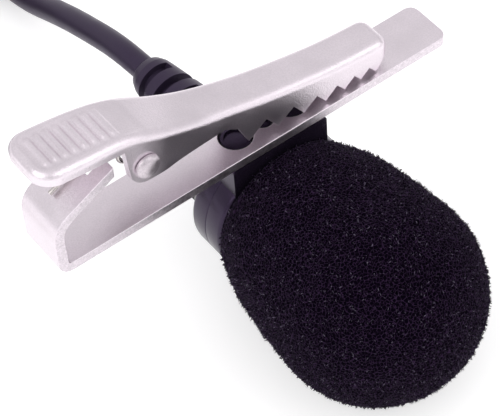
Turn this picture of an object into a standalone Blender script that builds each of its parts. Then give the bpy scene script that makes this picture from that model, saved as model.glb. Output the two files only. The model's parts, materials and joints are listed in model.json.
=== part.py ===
"""Lavalier microphone on a spring clip, with its foam windscreen, its cord and its plug.

Lengths are in metres, +Z is up and -Y is the way the microphone points. The origin is on the
surface that the foam rests on, below the middle of the clip and of the microphone's length.
"""
import math

import bmesh
import bpy
from mathutils import Matrix, Vector

MM = 0.001

# Clearances
SEAT_GAP = 0.25 * MM         # between faces that rest on each other
FIT_GAP = 0.05 * MM          # radial or side clearance of a running or snug fit

# Windscreen: heights along the microphone's axis count forward from the clip's near edge
FOAM_RADIUS = 10.8 * MM
FOAM_FRONT = 25.0 * MM
FOAM_MOUTH_RADIUS = 8.2 * MM

# Microphone body
BODY_RADIUS = 6.0 * MM
BODY_WALL = 0.8 * MM
BODY_FRONT = 11.4 * MM
BODY_REAR = -9.0 * MM
GRILLE_THICKNESS = 0.9 * MM
GRILLE_HOLE_RADIUS = 0.6 * MM
GRILLE_RING_RADIUS = 2.6 * MM
GRILLE_HOLE_COUNT = 6
FELT_THICKNESS = 0.8 * MM
CAPSULE_MOUNT_WALL = 0.6 * MM
CAPSULE_LENGTH = 4.6 * MM
CAPSULE_PORT_RADIUS = 1.0 * MM
BOARD_THICKNESS = 0.8 * MM
WIRE_RADIUS = 0.35 * MM
WIRE_SPREAD = 1.1 * MM

# Rear cap and the bend relief of the cord
CAP_REAR = -13.0 * MM
CAP_REAR_RADIUS = 4.3 * MM
CAP_WALL = 1.0 * MM
CAP_SPIGOT = 1.8 * MM
NECK_RADIUS = 2.5 * MM
FLANGE_RADIUS = 3.2 * MM
FLANGE_THICKNESS = 0.9 * MM
RELIEF_END = -23.6 * MM
RELIEF_ROOT_RADIUS = 3.6 * MM
RELIEF_END_RADIUS = 2.2 * MM
RELIEF_CORE_RADIUS = 1.75 * MM
RELIEF_COLLAR = 1.9 * MM
SLOT_WIDTH = 1.1 * MM
SLOT_PITCH = 2.5 * MM
SLOT_COUNT = 3
SLOT_BRIDGE_DEG = 70.0
SLOT_FIRST_BRIDGE_DEG = 24.0
CRIMP_RADIUS = 2.3 * MM
CRIMP_LENGTH = 3.0 * MM

# Cord
CORD_RADIUS = 1.4 * MM
COIL_MEAN_RADIUS = 16.5 * MM
COIL_TURN_PITCH = 3.3 * MM
COIL_LAYER_TURNS = 5.25
COIL_POINTS_PER_TURN = 24

# Lower jaw: a folded strip of sheet metal
SHEET = 1.1 * MM
STRIP_LENGTH = 46.4 * MM
STRIP_WIDTH = 5.6 * MM
STRIP_DROP = 10.4 * MM       # from the strip's top face down to the microphone's axis
TIP_CORNER_RADIUS = 1.0 * MM
LEG_CORNER_HEIGHT = 5.4 * MM
LEG_ANGLE_DEG = 27.5
LEG_END = 8.3 * MM
HEEL_LOWER_BEND = 1.5 * MM
HEEL_UPPER_BEND = 3.0 * MM
BEND_STEPS = 5
EAR_START = 6.9 * MM
EAR_RADIUS = 2.1 * MM
EAR_FOLD_RADIUS = 1.25 * MM

# Upper jaw: a pressed channel with a thumb pad behind the pivot and teeth ahead of it
PIVOT_X = 10.3 * MM
PIVOT_HEIGHT = 7.45 * MM
JAW_SHEET = 0.8 * MM
JAW_EDGE_RADIUS = 0.95 * MM
JAW_REAR = -0.6 * MM
JAW_FRONT = 39.6 * MM
JAW_DEPTH = 12.0 * MM
JAW_CORNER_RADIUS = 2.2 * MM
JAW_NOSE_CORNER_RADIUS = 1.2 * MM
JAW_WALL_BOTTOM_REAR = 5.4 * MM
JAW_WALL_BOTTOM_FRONT = 4.8 * MM
JAW_WALL_REAR = 8.5 * MM
JAW_WALL_FRONT = 19.6 * MM
JAW_HEEL_RADIUS = 2.0 * MM
PAD_RIM = 1.8 * MM
# distance from the heel, height over the strip's top face
JAW_CREST = [(0.0, 13.25), (4.6, 12.65), (8.2, 12.05), (10.2, 11.35), (12.2, 10.35), (14.5, 9.2),
             (17.3, 8.0), (20.5, 6.95), (24.5, 5.8), (28.5, 4.9), (33.5, 4.0), (38.8, 3.5), (42.0, 3.3)]
# distance from the heel, full width
JAW_SPAN = [(0.0, 6.3), (8.5, 6.3), (12.0, 6.3), (14.0, 5.75), (16.5, 5.25), (20.0, 4.75), (24.0, 4.55),
            (30.0, 4.4), (42.0, 4.2)]
PANEL_START = 0.95 * MM
PANEL_END = 10.0 * MM
PANEL_WIDTH = 4.7 * MM
PANEL_DEPTH = 0.22 * MM
PANEL_CORNER_RADIUS = 0.9 * MM
RIB_COUNT = 8
RIB_FIRST = 1.75 * MM
RIB_PITCH = 0.95 * MM
RIB_RADIUS = 0.27 * MM
RIB_WIDTH = 4.2 * MM

# Teeth: their pitch shrinks by one ratio towards the nose
TOOTH_COUNT = 7
TOOTH_FIRST = 22.2 * MM
TOOTH_FIRST_PITCH = 3.55 * MM
TOOTH_PITCH_RATIO = 0.87
TOOTH_DEPTH_RATIO = 0.5
TOOTH_RISE_SHARE = 0.62
TOOTH_FIRST_HEIGHT = 1.3 * MM
TOOTH_CLOSED_FROM = 31.0 * MM
NOSE_LIP_HEIGHT = 2.0 * MM   # from the strip up to the closed end of the nose

# Pivot rivet and spring
RIVET_RADIUS = 0.9 * MM
RIVET_HEAD_RADIUS = 1.32 * MM
RIVET_HEAD_HEIGHT = 0.75 * MM
SPRING_WIRE_RADIUS = 0.25 * MM
SPRING_COIL_RADIUS = 1.45 * MM
SPRING_COIL_PITCH = 0.95 * MM
SPRING_WINDOW_START = 5.2 * MM
SPRING_LEG_END = 1.8 * MM
SPRING_ARM_END = 3.2 * MM

# Holder: the plastic ring round the body, its saddle and the studs through the strip
RING_RADIUS = 8.0 * MM
RING_LENGTH = 4.9 * MM
SADDLE_LENGTH = 11.3 * MM
STUD_SPACING = 3.3 * MM
STUD_RADIUS = 1.5 * MM
CENTRE_STUD_RADIUS = 0.8 * MM
STUD_HOLE_CLEARANCE = 0.25 * MM
STUD_SUNK = 0.25 * MM

# Plug: 3.5 mm stereo
PLUG_GRIP_RADIUS = 4.4 * MM
PLUG_GRIP_LENGTH = 14.0 * MM
PLUG_COLLAR_RADIUS = 3.2 * MM
PLUG_COLLAR_LENGTH = 1.2 * MM
PLUG_SHAFT_RADIUS = 1.75 * MM
PLUG_SHAFT_LENGTH = 14.0 * MM
PLUG_TIP_LENGTH = 4.0 * MM
PLUG_RING_LENGTH = 2.6 * MM
PLUG_BAND_LENGTH = 0.8 * MM
PLUG_ROD_RADIUS = 0.8 * MM
PLUG_TAIL_LENGTH = 12.0 * MM
PLUG_TAIL_ROOT_RADIUS = 3.1 * MM
PLUG_TAIL_END_RADIUS = 2.0 * MM

TURN_STEPS = 32
FINE_TURN_STEPS = 44
SMALL_TURN_STEPS = 20

# Sizes and places that follow from the sizes above
BODY_BORE = BODY_RADIUS - BODY_WALL
CAPSULE_RADIUS = BODY_BORE - CAPSULE_MOUNT_WALL - 2 * FIT_GAP
EAR_OUTER_WIDTH = JAW_SPAN[0][1] * MM - 2 * (JAW_SHEET + FIT_GAP)
AXIS_HEIGHT = FOAM_RADIUS
STRIP_TOP = AXIS_HEIGHT + STRIP_DROP
HEEL_X = -STRIP_LENGTH / 2
NEAR_EDGE_Y = (FOAM_FRONT + RELIEF_END) / 2
MIC_FROM_HEEL = 25.5 * MM
MIC_X = HEEL_X + MIC_FROM_HEEL
STRIP_MIDDLE = STRIP_WIDTH / 2
RELIEF_EXIT_Y = NEAR_EDGE_Y - RELIEF_END

CORD_ROUTE = [(2.3, 28.0, 10.4), (2.4, 31.6, 9.45), (2.4, 35.4, 8.2), (2.4, 39.4, 6.75), (2.4, 43.6, 4.95),
              (2.3, 48.0, 3.1), (2.2, 53.0, 1.9), (2.0, 58.5, 1.45), (1.8, 63.5, 1.4)]
COIL_START = Vector((1.7 * MM, 68.5 * MM, CORD_RADIUS))

FINISHES = {
    "foam": ((0.028, 0.024, 0.034), 0.95, 0.0),
    "satin_nickel": ((0.74, 0.71, 0.74), 0.32, 1.0),
    "bright_steel": ((0.8, 0.79, 0.8), 0.18, 1.0),
    "spring_steel": ((0.5, 0.48, 0.5), 0.3, 1.0),
    "black_plastic": ((0.035, 0.031, 0.04), 0.38, 0.0),
    "black_rubber": ((0.04, 0.036, 0.046), 0.55, 0.0),
    "cord_rubber": ((0.045, 0.04, 0.052), 0.5, 0.0),
    "black_metal": ((0.05, 0.048, 0.052), 0.42, 0.8),
    "felt": ((0.06, 0.06, 0.065), 0.95, 0.0),
    "aluminium": ((0.75, 0.76, 0.78), 0.35, 1.0),
    "circuit_board": ((0.05, 0.22, 0.1), 0.5, 0.0),
    "copper_wire": ((0.7, 0.12, 0.08), 0.45, 0.0),
    "nickel_contact": ((0.82, 0.8, 0.76), 0.15, 1.0),
}


def new_collection(name):
    collection = bpy.data.collections.new(name)
    bpy.context.scene.collection.children.link(collection)
    return collection


for old_object in list(bpy.data.objects):
    bpy.data.objects.remove(old_object, do_unlink=True)

PARTS = new_collection("lavalier_microphone")
GUIDES = new_collection("cutters")


# ---------------------------------------------------------------- objects and finishes

def principled(name, finish):
    colour, roughness, metallic = FINISHES[finish]
    material = bpy.data.materials.new(name)
    material.use_nodes = True
    shader = material.node_tree.nodes["Principled BSDF"]
    shader.inputs["Base Color"].default_value = (*colour, 1.0)
    shader.inputs["Roughness"].default_value = roughness
    shader.inputs["Metallic"].default_value = metallic
    material.diffuse_color = (*colour, 1.0)
    return material


def place(obj, parent, location):
    obj.parent = parent
    obj.location = location
    return obj


def add_part(name, data, finish, parent=None, location=(0.0, 0.0, 0.0)):
    obj = bpy.data.objects.new(name, data)
    data.materials.append(principled(name + "_finish", finish))
    PARTS.objects.link(obj)
    return place(obj, parent, location)


def add_cutter(name, data, parent=None, location=(0.0, 0.0, 0.0)):
    obj = bpy.data.objects.new(name, data)
    GUIDES.objects.link(obj)
    obj.hide_render = True
    obj.display_type = "WIRE"
    return place(obj, parent, location)


def add_empty(name, location, parent=None, rotation=(0.0, 0.0, 0.0)):
    empty = bpy.data.objects.new(name, None)
    PARTS.objects.link(empty)
    empty.rotation_euler = rotation
    return place(empty, parent, location)


def mesh_from(name, bm):
    mesh = bpy.data.meshes.new(name)
    bm.to_mesh(mesh)
    bm.free()
    return mesh


def smooth(mesh, angle_deg=35.0):
    mesh.shade_smooth()
    mesh.set_sharp_from_angle(angle=math.radians(angle_deg))


def combine(obj, other, operation):
    modifier = obj.modifiers.new(operation.lower() + "_" + other.name, "BOOLEAN")
    modifier.operation = operation
    modifier.object = other


def thicken(obj, thickness, offset):
    solidify = obj.modifiers.new("sheet", "SOLIDIFY")
    solidify.thickness = thickness
    solidify.offset = offset
    solidify.use_even_offset = True


# ---------------------------------------------------------------- basic shapes

def box_mesh(name, low, high):
    bm = bmesh.new()
    bmesh.ops.create_cube(bm, size=1.0)
    size = [b - a for a, b in zip(low, high)]
    middle = [(a + b) / 2 for a, b in zip(low, high)]
    bmesh.ops.scale(bm, vec=size, verts=bm.verts)
    bmesh.ops.translate(bm, vec=middle, verts=bm.verts)
    return mesh_from(name, bm)


def cylinder_mesh(name, radius, start, end, segments=24):
    """A cylinder between two points."""
    start, end = Vector(start), Vector(end)
    turn = (end - start).to_track_quat("Z", "Y").to_matrix().to_4x4()
    bm = bmesh.new()
    bmesh.ops.create_cone(bm, cap_ends=True, segments=segments, radius1=radius, radius2=radius,
                          depth=(end - start).length,
                          matrix=Matrix.Translation((start + end) / 2) @ turn)
    mesh = mesh_from(name, bm)
    smooth(mesh)
    return mesh


def turned(name, profile, finish, parent, steps=TURN_STEPS):
    """A solid of revolution about the parent's Z axis.

    The profile is a list of (radius, height) down the outer side. One that starts and ends on
    the axis is left open there, and any other is closed.
    """
    bm = bmesh.new()
    verts = [bm.verts.new((radius, 0.0, height)) for radius, height in profile]
    for first, second in zip(verts, verts[1:]):
        bm.edges.new((first, second))
    if profile[0][0] > 0.0:
        bm.edges.new((verts[-1], verts[0]))
    obj = add_part(name, mesh_from(name, bm), finish, parent)
    screw = obj.modifiers.new("turn", "SCREW")
    screw.steps = steps
    screw.render_steps = steps
    screw.use_merge_vertices = True
    screw.merge_threshold = 0.00001
    return obj


def arc(centre, radius, start_deg, end_deg, steps):
    """Points on an arc in a plane, from one angle to another."""
    points = []
    for step in range(steps + 1):
        angle = math.radians(start_deg + (end_deg - start_deg) * step / steps)
        points.append((centre[0] + radius * math.cos(angle), centre[1] + radius * math.sin(angle)))
    return points


def rounded(points, radii, steps):
    """A path of straight lines whose inner corners are rounded, each with its own radius."""
    path = [Vector(points[0])]
    for before, corner, after, radius in zip(points, points[1:], points[2:], radii):
        corner = Vector(corner)
        back = (Vector(before) - corner).normalized()
        ahead = (Vector(after) - corner).normalized()
        half_angle = back.angle(ahead) / 2
        reach = radius / math.tan(half_angle)
        centre = corner + (back + ahead).normalized() * radius / math.sin(half_angle)
        start = corner + back * reach - centre
        sweep = start.angle_signed(corner + ahead * reach - centre)
        for step in range(steps + 1):
            turn = Matrix.Rotation(-sweep * step / steps, 2)
            path.append(centre + turn @ start)
    path.append(Vector(points[-1]))
    return path


def plate(name, outline, thickness, axis):
    """A flat outline with a thickness: axis Z for a plan outline, axis Y for a side outline."""
    curve = bpy.data.curves.new(name, "CURVE")
    curve.dimensions = "2D"
    curve.fill_mode = "BOTH"
    curve.extrude = thickness / 2
    spline = curve.splines.new("POLY")
    spline.points.add(len(outline) - 1)
    for point, place_2d in zip(spline.points, outline):
        point.co = (place_2d[0], place_2d[1], 0.0, 1.0)
    spline.use_cyclic_u = True
    obj = bpy.data.objects.new(name, curve)
    GUIDES.objects.link(obj)
    bpy.context.view_layer.update()
    graph = bpy.context.evaluated_depsgraph_get()
    mesh = bpy.data.meshes.new_from_object(obj.evaluated_get(graph))
    bpy.data.objects.remove(obj, do_unlink=True)
    bm = bmesh.new()
    bm.from_mesh(mesh)
    bmesh.ops.remove_doubles(bm, verts=bm.verts, dist=0.000001)
    if axis == "Y":
        bmesh.ops.rotate(bm, verts=bm.verts, matrix=Matrix.Rotation(math.pi / 2, 3, "X"))
    bmesh.ops.recalc_face_normals(bm, faces=bm.faces)
    return mesh_from(name, bm)


def tube(name, points, radius, finish, parent=None, bevel_resolution=2):
    """A round wire or cord with filled ends along a list of points."""
    curve = bpy.data.curves.new(name, "CURVE")
    curve.dimensions = "3D"
    curve.bevel_depth = radius
    curve.bevel_resolution = bevel_resolution
    curve.use_fill_caps = True
    spline = curve.splines.new("POLY")
    spline.points.add(len(points) - 1)
    for point, position in zip(spline.points, points):
        point.co = (*position, 1.0)
    return add_part(name, curve, finish, parent)


def smooth_curve(points, spacing):
    """Points at about an even spacing on a smooth curve through the given points."""
    ends = [points[0] * 2 - points[1], *points, points[-1] * 2 - points[-2]]
    path = []
    for before, start, end, after in zip(ends, ends[1:], ends[2:], ends[3:]):
        steps = max(1, round((end - start).length / spacing))
        for step in range(steps):
            t = step / steps
            pull = (end - before) * t + (before * 2 - start * 5 + end * 4 - after) * t ** 2
            push = (start * 3 - before - end * 3 + after) * t ** 3
            path.append(start + (pull + push) / 2)
    path.append(points[-1])
    return path


def station_value(stations, position):
    """A smooth curve through (position, value) stations in millimetres, read at a position."""
    position = position / MM
    count = len(stations)
    index = 0
    while index < count - 2 and position > stations[index + 1][0]:
        index += 1
    low, high = stations[index], stations[index + 1]
    before = stations[max(index - 1, 0)]
    after = stations[min(index + 2, count - 1)]
    width = high[0] - low[0]
    slope_low = (high[1] - before[1]) / (high[0] - before[0])
    slope_high = (after[1] - low[1]) / (after[0] - low[0])
    t = (position - low[0]) / width
    value = (low[1] * (2 * t ** 3 - 3 * t ** 2 + 1) + high[1] * (3 * t ** 2 - 2 * t ** 3)
             + slope_low * width * (t ** 3 - 2 * t ** 2 + t)
             + slope_high * width * (t ** 3 - t ** 2))
    return value * MM


def crest(x):
    """Height of the upper jaw's back over the strip's top face."""
    return station_value(JAW_CREST, x)


def jaw_half_width(x):
    return station_value(JAW_SPAN, x) / 2


def leg_top(x):
    """Height of the top face of the lower jaw's rising leg."""
    return LEG_CORNER_HEIGHT + x * math.tan(math.radians(LEG_ANGLE_DEG))


# ---------------------------------------------------------------- frames

MIC_AXIS = add_empty("microphone_axis", (MIC_X, NEAR_EDGE_Y, AXIS_HEIGHT), None, (math.pi / 2, 0.0, 0.0))
CLIP_TURN = add_empty("clip_turn_axis", (MIC_X, NEAR_EDGE_Y, AXIS_HEIGHT))
CLIP = add_empty("clip_frame", (-MIC_FROM_HEEL, 0.0, STRIP_DROP), CLIP_TURN)
RING_AXIS = add_empty("holder_axis", (0.0, 0.0, 0.0), CLIP_TURN, (math.pi / 2, 0.0, 0.0))
JAW_PIVOT = add_empty("jaw_pivot", (PIVOT_X, STRIP_MIDDLE, PIVOT_HEIGHT), CLIP)
RIVET_AXIS = add_empty("rivet_axis", (PIVOT_X, STRIP_MIDDLE, PIVOT_HEIGHT), CLIP, (math.pi / 2, 0.0, 0.0))
FROM_PIVOT = (-PIVOT_X, -STRIP_MIDDLE, -PIVOT_HEIGHT)


# ---------------------------------------------------------------- microphone

GRILLE_REAR = BODY_FRONT + SEAT_GAP
GRILLE_FRONT = GRILLE_REAR + GRILLE_THICKNESS
FELT_FRONT = BODY_FRONT
FELT_REAR = FELT_FRONT - FELT_THICKNESS
CAPSULE_FRONT = FELT_REAR - SEAT_GAP
CAPSULE_REAR = CAPSULE_FRONT - CAPSULE_LENGTH
BOARD_FRONT = CAPSULE_REAR - SEAT_GAP
BOARD_REAR = BOARD_FRONT - BOARD_THICKNESS
FLANGE_REAR = CAP_REAR + CAP_WALL + SEAT_GAP
FLANGE_FRONT = FLANGE_REAR + FLANGE_THICKNESS
CRIMP_REAR = FLANGE_FRONT + SEAT_GAP
CRIMP_FRONT = CRIMP_REAR + CRIMP_LENGTH
CORD_TAIL_FRONT = CRIMP_FRONT + SEAT_GAP


def windscreen():
    """Foam sleeve with a domed front, bored out for the microphone's body."""
    mouth = SEAT_GAP
    dome_height = FOAM_FRONT - FOAM_RADIUS
    outer = arc((0.0, dome_height), FOAM_RADIUS, 90.0, 0.0, 9)
    outer[0] = (0.0, FOAM_FRONT)
    belly = (FOAM_RADIUS * 0.96, dome_height * 0.62)
    cheek = (FOAM_RADIUS * 0.9, dome_height * 0.3)
    lip = (FOAM_MOUTH_RADIUS, mouth)
    bore = BODY_RADIUS + FIT_GAP
    blind_end = GRILLE_FRONT + SEAT_GAP
    profile = [*outer, belly, cheek, lip, (bore, mouth), (bore, blind_end), (0.0, blind_end)]
    turned("windscreen", profile, "foam", MIC_AXIS, FINE_TURN_STEPS)


def body_tube():
    profile = [(BODY_BORE, BODY_FRONT), (BODY_RADIUS, BODY_FRONT), (BODY_RADIUS, BODY_REAR),
               (BODY_BORE, BODY_REAR)]
    turned("body_tube", profile, "black_metal", MIC_AXIS)


def front_grille():
    """Perforated disc that closes the body in front of the felt."""
    edge = 0.3 * MM
    profile = [(0.0, GRILLE_FRONT), (BODY_RADIUS - edge, GRILLE_FRONT), (BODY_RADIUS, GRILLE_FRONT - edge),
               (BODY_RADIUS, GRILLE_REAR), (0.0, GRILLE_REAR)]
    grille = turned("front_grille", profile, "black_metal", MIC_AXIS)
    places = [(0.0, 0.0)]
    for index in range(GRILLE_HOLE_COUNT):
        angle = 2 * math.pi * index / GRILLE_HOLE_COUNT
        places.append((GRILLE_RING_RADIUS * math.cos(angle), GRILLE_RING_RADIUS * math.sin(angle)))
    for index, (x, y) in enumerate(places):
        name = "grille_hole_%d" % index
        drill = cylinder_mesh(name, GRILLE_HOLE_RADIUS, (x, y, GRILLE_REAR - MM), (x, y, GRILLE_FRONT + MM), 12)
        combine(grille, add_cutter(name, drill, MIC_AXIS), "DIFFERENCE")


def felt_disc():
    radius = BODY_BORE - FIT_GAP
    turned("felt_disc", [(0.0, FELT_FRONT), (radius, FELT_FRONT), (radius, FELT_REAR), (0.0, FELT_REAR)],
           "felt", MIC_AXIS)


def capsule_mount():
    """Rubber sleeve between the capsule and the body."""
    inner = CAPSULE_RADIUS + FIT_GAP
    outer = BODY_BORE - FIT_GAP
    turned("capsule_mount", [(inner, CAPSULE_FRONT), (outer, CAPSULE_FRONT), (outer, CAPSULE_REAR),
                             (inner, CAPSULE_REAR)], "black_rubber", MIC_AXIS)


def capsule():
    """Electret capsule: a rolled can with a sound port in front."""
    edge = 0.3 * MM
    port_depth = 0.5 * MM
    profile = [(0.0, CAPSULE_FRONT - port_depth), (CAPSULE_PORT_RADIUS, CAPSULE_FRONT - port_depth),
               (CAPSULE_PORT_RADIUS, CAPSULE_FRONT), (CAPSULE_RADIUS - edge, CAPSULE_FRONT),
               (CAPSULE_RADIUS, CAPSULE_FRONT - edge), (CAPSULE_RADIUS, CAPSULE_REAR), (0.0, CAPSULE_REAR)]
    turned("electret_capsule", profile, "aluminium", MIC_AXIS)


def capsule_board():
    radius = CAPSULE_RADIUS - 0.4 * MM
    turned("capsule_board", [(0.0, BOARD_FRONT), (radius, BOARD_FRONT), (radius, BOARD_REAR),
                             (0.0, BOARD_REAR)], "circuit_board", MIC_AXIS, SMALL_TURN_STEPS)


def inner_wires():
    """The signal and the ground wire, from the board to the cord's stripped end."""
    start = BOARD_REAR - SEAT_GAP
    end = CORD_TAIL_FRONT + SEAT_GAP
    near_axis = WIRE_RADIUS + FIT_GAP * 2
    for name, side in (("signal_wire", 1), ("ground_wire", -1)):
        points = []
        for height, spread in ((start, WIRE_SPREAD), (start - 2 * MM, WIRE_SPREAD),
                               (end + 4 * MM, near_axis), (end, near_axis)):
            points.append(MIC_AXIS_MATRIX @ Vector((side * spread, 0.0, height)))
        tube(name, points, WIRE_RADIUS, "copper_wire")


def rear_cap():
    """Tapered cap with a spigot in the body and a mouth for the bend relief."""
    spigot_outer = BODY_BORE - FIT_GAP
    spigot_inner = spigot_outer - CAP_WALL
    joint = BODY_REAR - SEAT_GAP
    profile = [(spigot_inner, BODY_REAR + CAP_SPIGOT), (spigot_outer, BODY_REAR + CAP_SPIGOT),
               (spigot_outer, joint), (BODY_RADIUS, joint), (BODY_RADIUS, joint - CAP_WALL),
               (CAP_REAR_RADIUS, CAP_REAR), (NECK_RADIUS + FIT_GAP, CAP_REAR),
               (NECK_RADIUS + FIT_GAP, CAP_REAR + CAP_WALL), (FLANGE_RADIUS + FIT_GAP, CAP_REAR + CAP_WALL),
               (spigot_inner, joint)]
    turned("rear_cap", profile, "black_plastic", MIC_AXIS)


def slot_cutter(name, middle, bridge_deg):
    """A C-shaped plate that cuts a slot round the bend relief but for one bridge."""
    reach = RELIEF_ROOT_RADIUS + MM
    half_bridge = SLOT_BRIDGE_DEG / 2
    start = bridge_deg + half_bridge
    end = bridge_deg + 360.0 - half_bridge
    outline = arc((0.0, 0.0), reach, start, end, 14)
    outline += arc((0.0, 0.0), RELIEF_CORE_RADIUS, end, start, 14)
    return add_cutter(name, plate(name, outline, SLOT_WIDTH, "Z"), MIC_AXIS, (0.0, 0.0, middle))


def bend_relief():
    """Tapered rubber sleeve whose slots open on alternate sides."""
    bore = CORD_RADIUS + FIT_GAP
    shoulder = CAP_REAR - SEAT_GAP
    collar = RELIEF_END + RELIEF_COLLAR
    rim = 0.25 * MM
    profile = [(bore, FLANGE_FRONT), (FLANGE_RADIUS, FLANGE_FRONT), (FLANGE_RADIUS, FLANGE_REAR),
               (NECK_RADIUS, FLANGE_REAR), (NECK_RADIUS, shoulder), (RELIEF_ROOT_RADIUS, shoulder),
               (RELIEF_END_RADIUS + 0.3 * MM, collar), (RELIEF_END_RADIUS, RELIEF_END + rim),
               (RELIEF_END_RADIUS - rim, RELIEF_END), (bore, RELIEF_END)]
    relief = turned("bend_relief", profile, "cord_rubber", MIC_AXIS)
    for index in range(SLOT_COUNT):
        middle = collar + SLOT_WIDTH / 2 + index * SLOT_PITCH
        bridge = SLOT_FIRST_BRIDGE_DEG + 180.0 * (index % 2)
        combine(relief, slot_cutter("relief_slot_%d" % index, middle, bridge), "DIFFERENCE")


def crimp():
    """Metal sleeve that keeps the cord from pulling out of the body."""
    bore = CORD_RADIUS + FIT_GAP
    turned("crimp_sleeve", [(bore, CRIMP_FRONT), (CRIMP_RADIUS, CRIMP_FRONT), (CRIMP_RADIUS, CRIMP_REAR),
                            (bore, CRIMP_REAR)], "aluminium", MIC_AXIS, SMALL_TURN_STEPS)


def cord_tail():
    """The end of the cord inside the bend relief."""
    turned("cord_tail", [(0.0, CORD_TAIL_FRONT), (CORD_RADIUS, CORD_TAIL_FRONT), (CORD_RADIUS, RELIEF_END),
                         (0.0, RELIEF_END)], "cord_rubber", MIC_AXIS, SMALL_TURN_STEPS)


# ---------------------------------------------------------------- lower jaw and holder

def strip_path():
    """The outer face of the lower jaw in side view, from the tip round the heel to the ears."""
    end = EAR_START + MM
    corners = [(STRIP_LENGTH + MM, -SHEET), (0.0, -SHEET), (0.0, LEG_CORNER_HEIGHT), (end, leg_top(end))]
    return rounded(corners, (HEEL_LOWER_BEND, HEEL_UPPER_BEND), BEND_STEPS)


def folded_strip():
    """Strip, heel and leg as one open sheet, wider than the finished strip."""
    bm = bmesh.new()
    verts = [bm.verts.new((x, -MM, z)) for x, z in strip_path()]
    edges = [bm.edges.new(pair) for pair in zip(verts, verts[1:])]
    grown = bmesh.ops.extrude_edge_only(bm, edges=edges)
    new_verts = [item for item in grown["geom"] if isinstance(item, bmesh.types.BMVert)]
    bmesh.ops.translate(bm, verts=new_verts, vec=(0.0, STRIP_WIDTH + 2 * MM, 0.0))
    bmesh.ops.recalc_face_normals(bm, faces=bm.faces)
    return mesh_from("folded_strip", bm)


def ear_channel():
    """Inverted channel along the leg's line, from which the two ears are cut."""
    half = EAR_OUTER_WIDTH / 2
    depth = PIVOT_HEIGHT
    flat = half - EAR_FOLD_RADIUS
    section = [(-half, -depth)]
    section += arc((-flat, -EAR_FOLD_RADIUS), EAR_FOLD_RADIUS, 180.0, 90.0, 4)
    section += arc((flat, -EAR_FOLD_RADIUS), EAR_FOLD_RADIUS, 90.0, 0.0, 4)
    section.append((half, -depth))
    end = PIVOT_X + EAR_RADIUS + MM
    bm = bmesh.new()
    verts = [bm.verts.new((EAR_START, STRIP_MIDDLE + y, leg_top(EAR_START) + z)) for y, z in section]
    edges = [bm.edges.new(pair) for pair in zip(verts, verts[1:])]
    grown = bmesh.ops.extrude_edge_only(bm, edges=edges)
    new_verts = [item for item in grown["geom"] if isinstance(item, bmesh.types.BMVert)]
    bmesh.ops.translate(bm, verts=new_verts, vec=(end - EAR_START, 0.0, leg_top(end) - leg_top(EAR_START)))
    bmesh.ops.recalc_face_normals(bm, faces=bm.faces)
    return mesh_from("ear_channel", bm)


def ear_outline():
    """Side view of the ears: from the leg round the pivot and back."""
    above = leg_top(LEG_END) + MM
    outline = [(EAR_START - MM, above), (LEG_END, above), (LEG_END, leg_top(LEG_END) - SHEET / 4)]
    outline += arc((PIVOT_X, PIVOT_HEIGHT), EAR_RADIUS, 90.0, -165.0, 16)
    outline.append((EAR_START - MM, leg_top(EAR_START - MM) - SHEET * 1.3))
    return outline


def lower_jaw():
    jaw = add_part("lower_jaw", folded_strip(), "satin_nickel", CLIP)
    thicken(jaw, SHEET, -1.0)
    far = STRIP_LENGTH - TIP_CORNER_RADIUS
    near_corner = arc((far, TIP_CORNER_RADIUS), TIP_CORNER_RADIUS, -90.0, 0.0, 4)
    far_corner = arc((far, STRIP_WIDTH - TIP_CORNER_RADIUS), TIP_CORNER_RADIUS, 0.0, 90.0, 4)
    plan = [(-MM, 0.0), *near_corner, *far_corner, (-MM, STRIP_WIDTH)]
    combine(jaw, add_cutter("strip_plan", plate("strip_plan", plan, 40 * MM, "Z"), CLIP), "INTERSECT")
    leg_cut = box_mesh("leg_cut", (EAR_START + 0.2 * MM, -MM, leg_top(EAR_START) - 2.5 * MM),
                       (EAR_START + 4 * MM, STRIP_WIDTH + MM, leg_top(EAR_START) + 3 * MM))
    combine(jaw, add_cutter("leg_cut", leg_cut, CLIP), "DIFFERENCE")
    ears = add_cutter("ear_channel", ear_channel(), CLIP)
    thicken(ears, SHEET, -1.0)
    sides = plate("ear_outline", ear_outline(), STRIP_WIDTH + 2 * MM, "Y")
    combine(ears, add_cutter("ear_outline", sides, CLIP, (0.0, STRIP_MIDDLE, 0.0)), "INTERSECT")
    combine(jaw, ears, "UNION")
    inner_half = EAR_OUTER_WIDTH / 2 - SHEET
    window = box_mesh("spring_window", (SPRING_WINDOW_START, STRIP_MIDDLE - inner_half, PIVOT_HEIGHT - 3 * MM),
                      (PIVOT_X + 2 * EAR_RADIUS, STRIP_MIDDLE + inner_half, PIVOT_HEIGHT + 5 * MM))
    combine(jaw, add_cutter("spring_window", window, CLIP), "DIFFERENCE")
    bore = cylinder_mesh("ear_bore", RIVET_RADIUS + FIT_GAP, (PIVOT_X, -MM, PIVOT_HEIGHT),
                         (PIVOT_X, STRIP_WIDTH + MM, PIVOT_HEIGHT), SMALL_TURN_STEPS)
    combine(jaw, add_cutter("ear_bore", bore, CLIP), "DIFFERENCE")
    for name, offset, radius in stud_places():
        x = MIC_FROM_HEEL + offset
        hole = cylinder_mesh(name, radius + STUD_HOLE_CLEARANCE, (x, STRIP_MIDDLE, -2 * SHEET),
                             (x, STRIP_MIDDLE, SHEET))
        combine(jaw, add_cutter("hole_for_" + name, hole, CLIP), "DIFFERENCE")


def stud_places():
    """Name, offset from the microphone's axis and radius of each stud of the holder."""
    return (("heel_stud", -STUD_SPACING, STUD_RADIUS), ("centre_stud", 0.0, CENTRE_STUD_RADIUS),
            ("tip_stud", STUD_SPACING, STUD_RADIUS))


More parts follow.
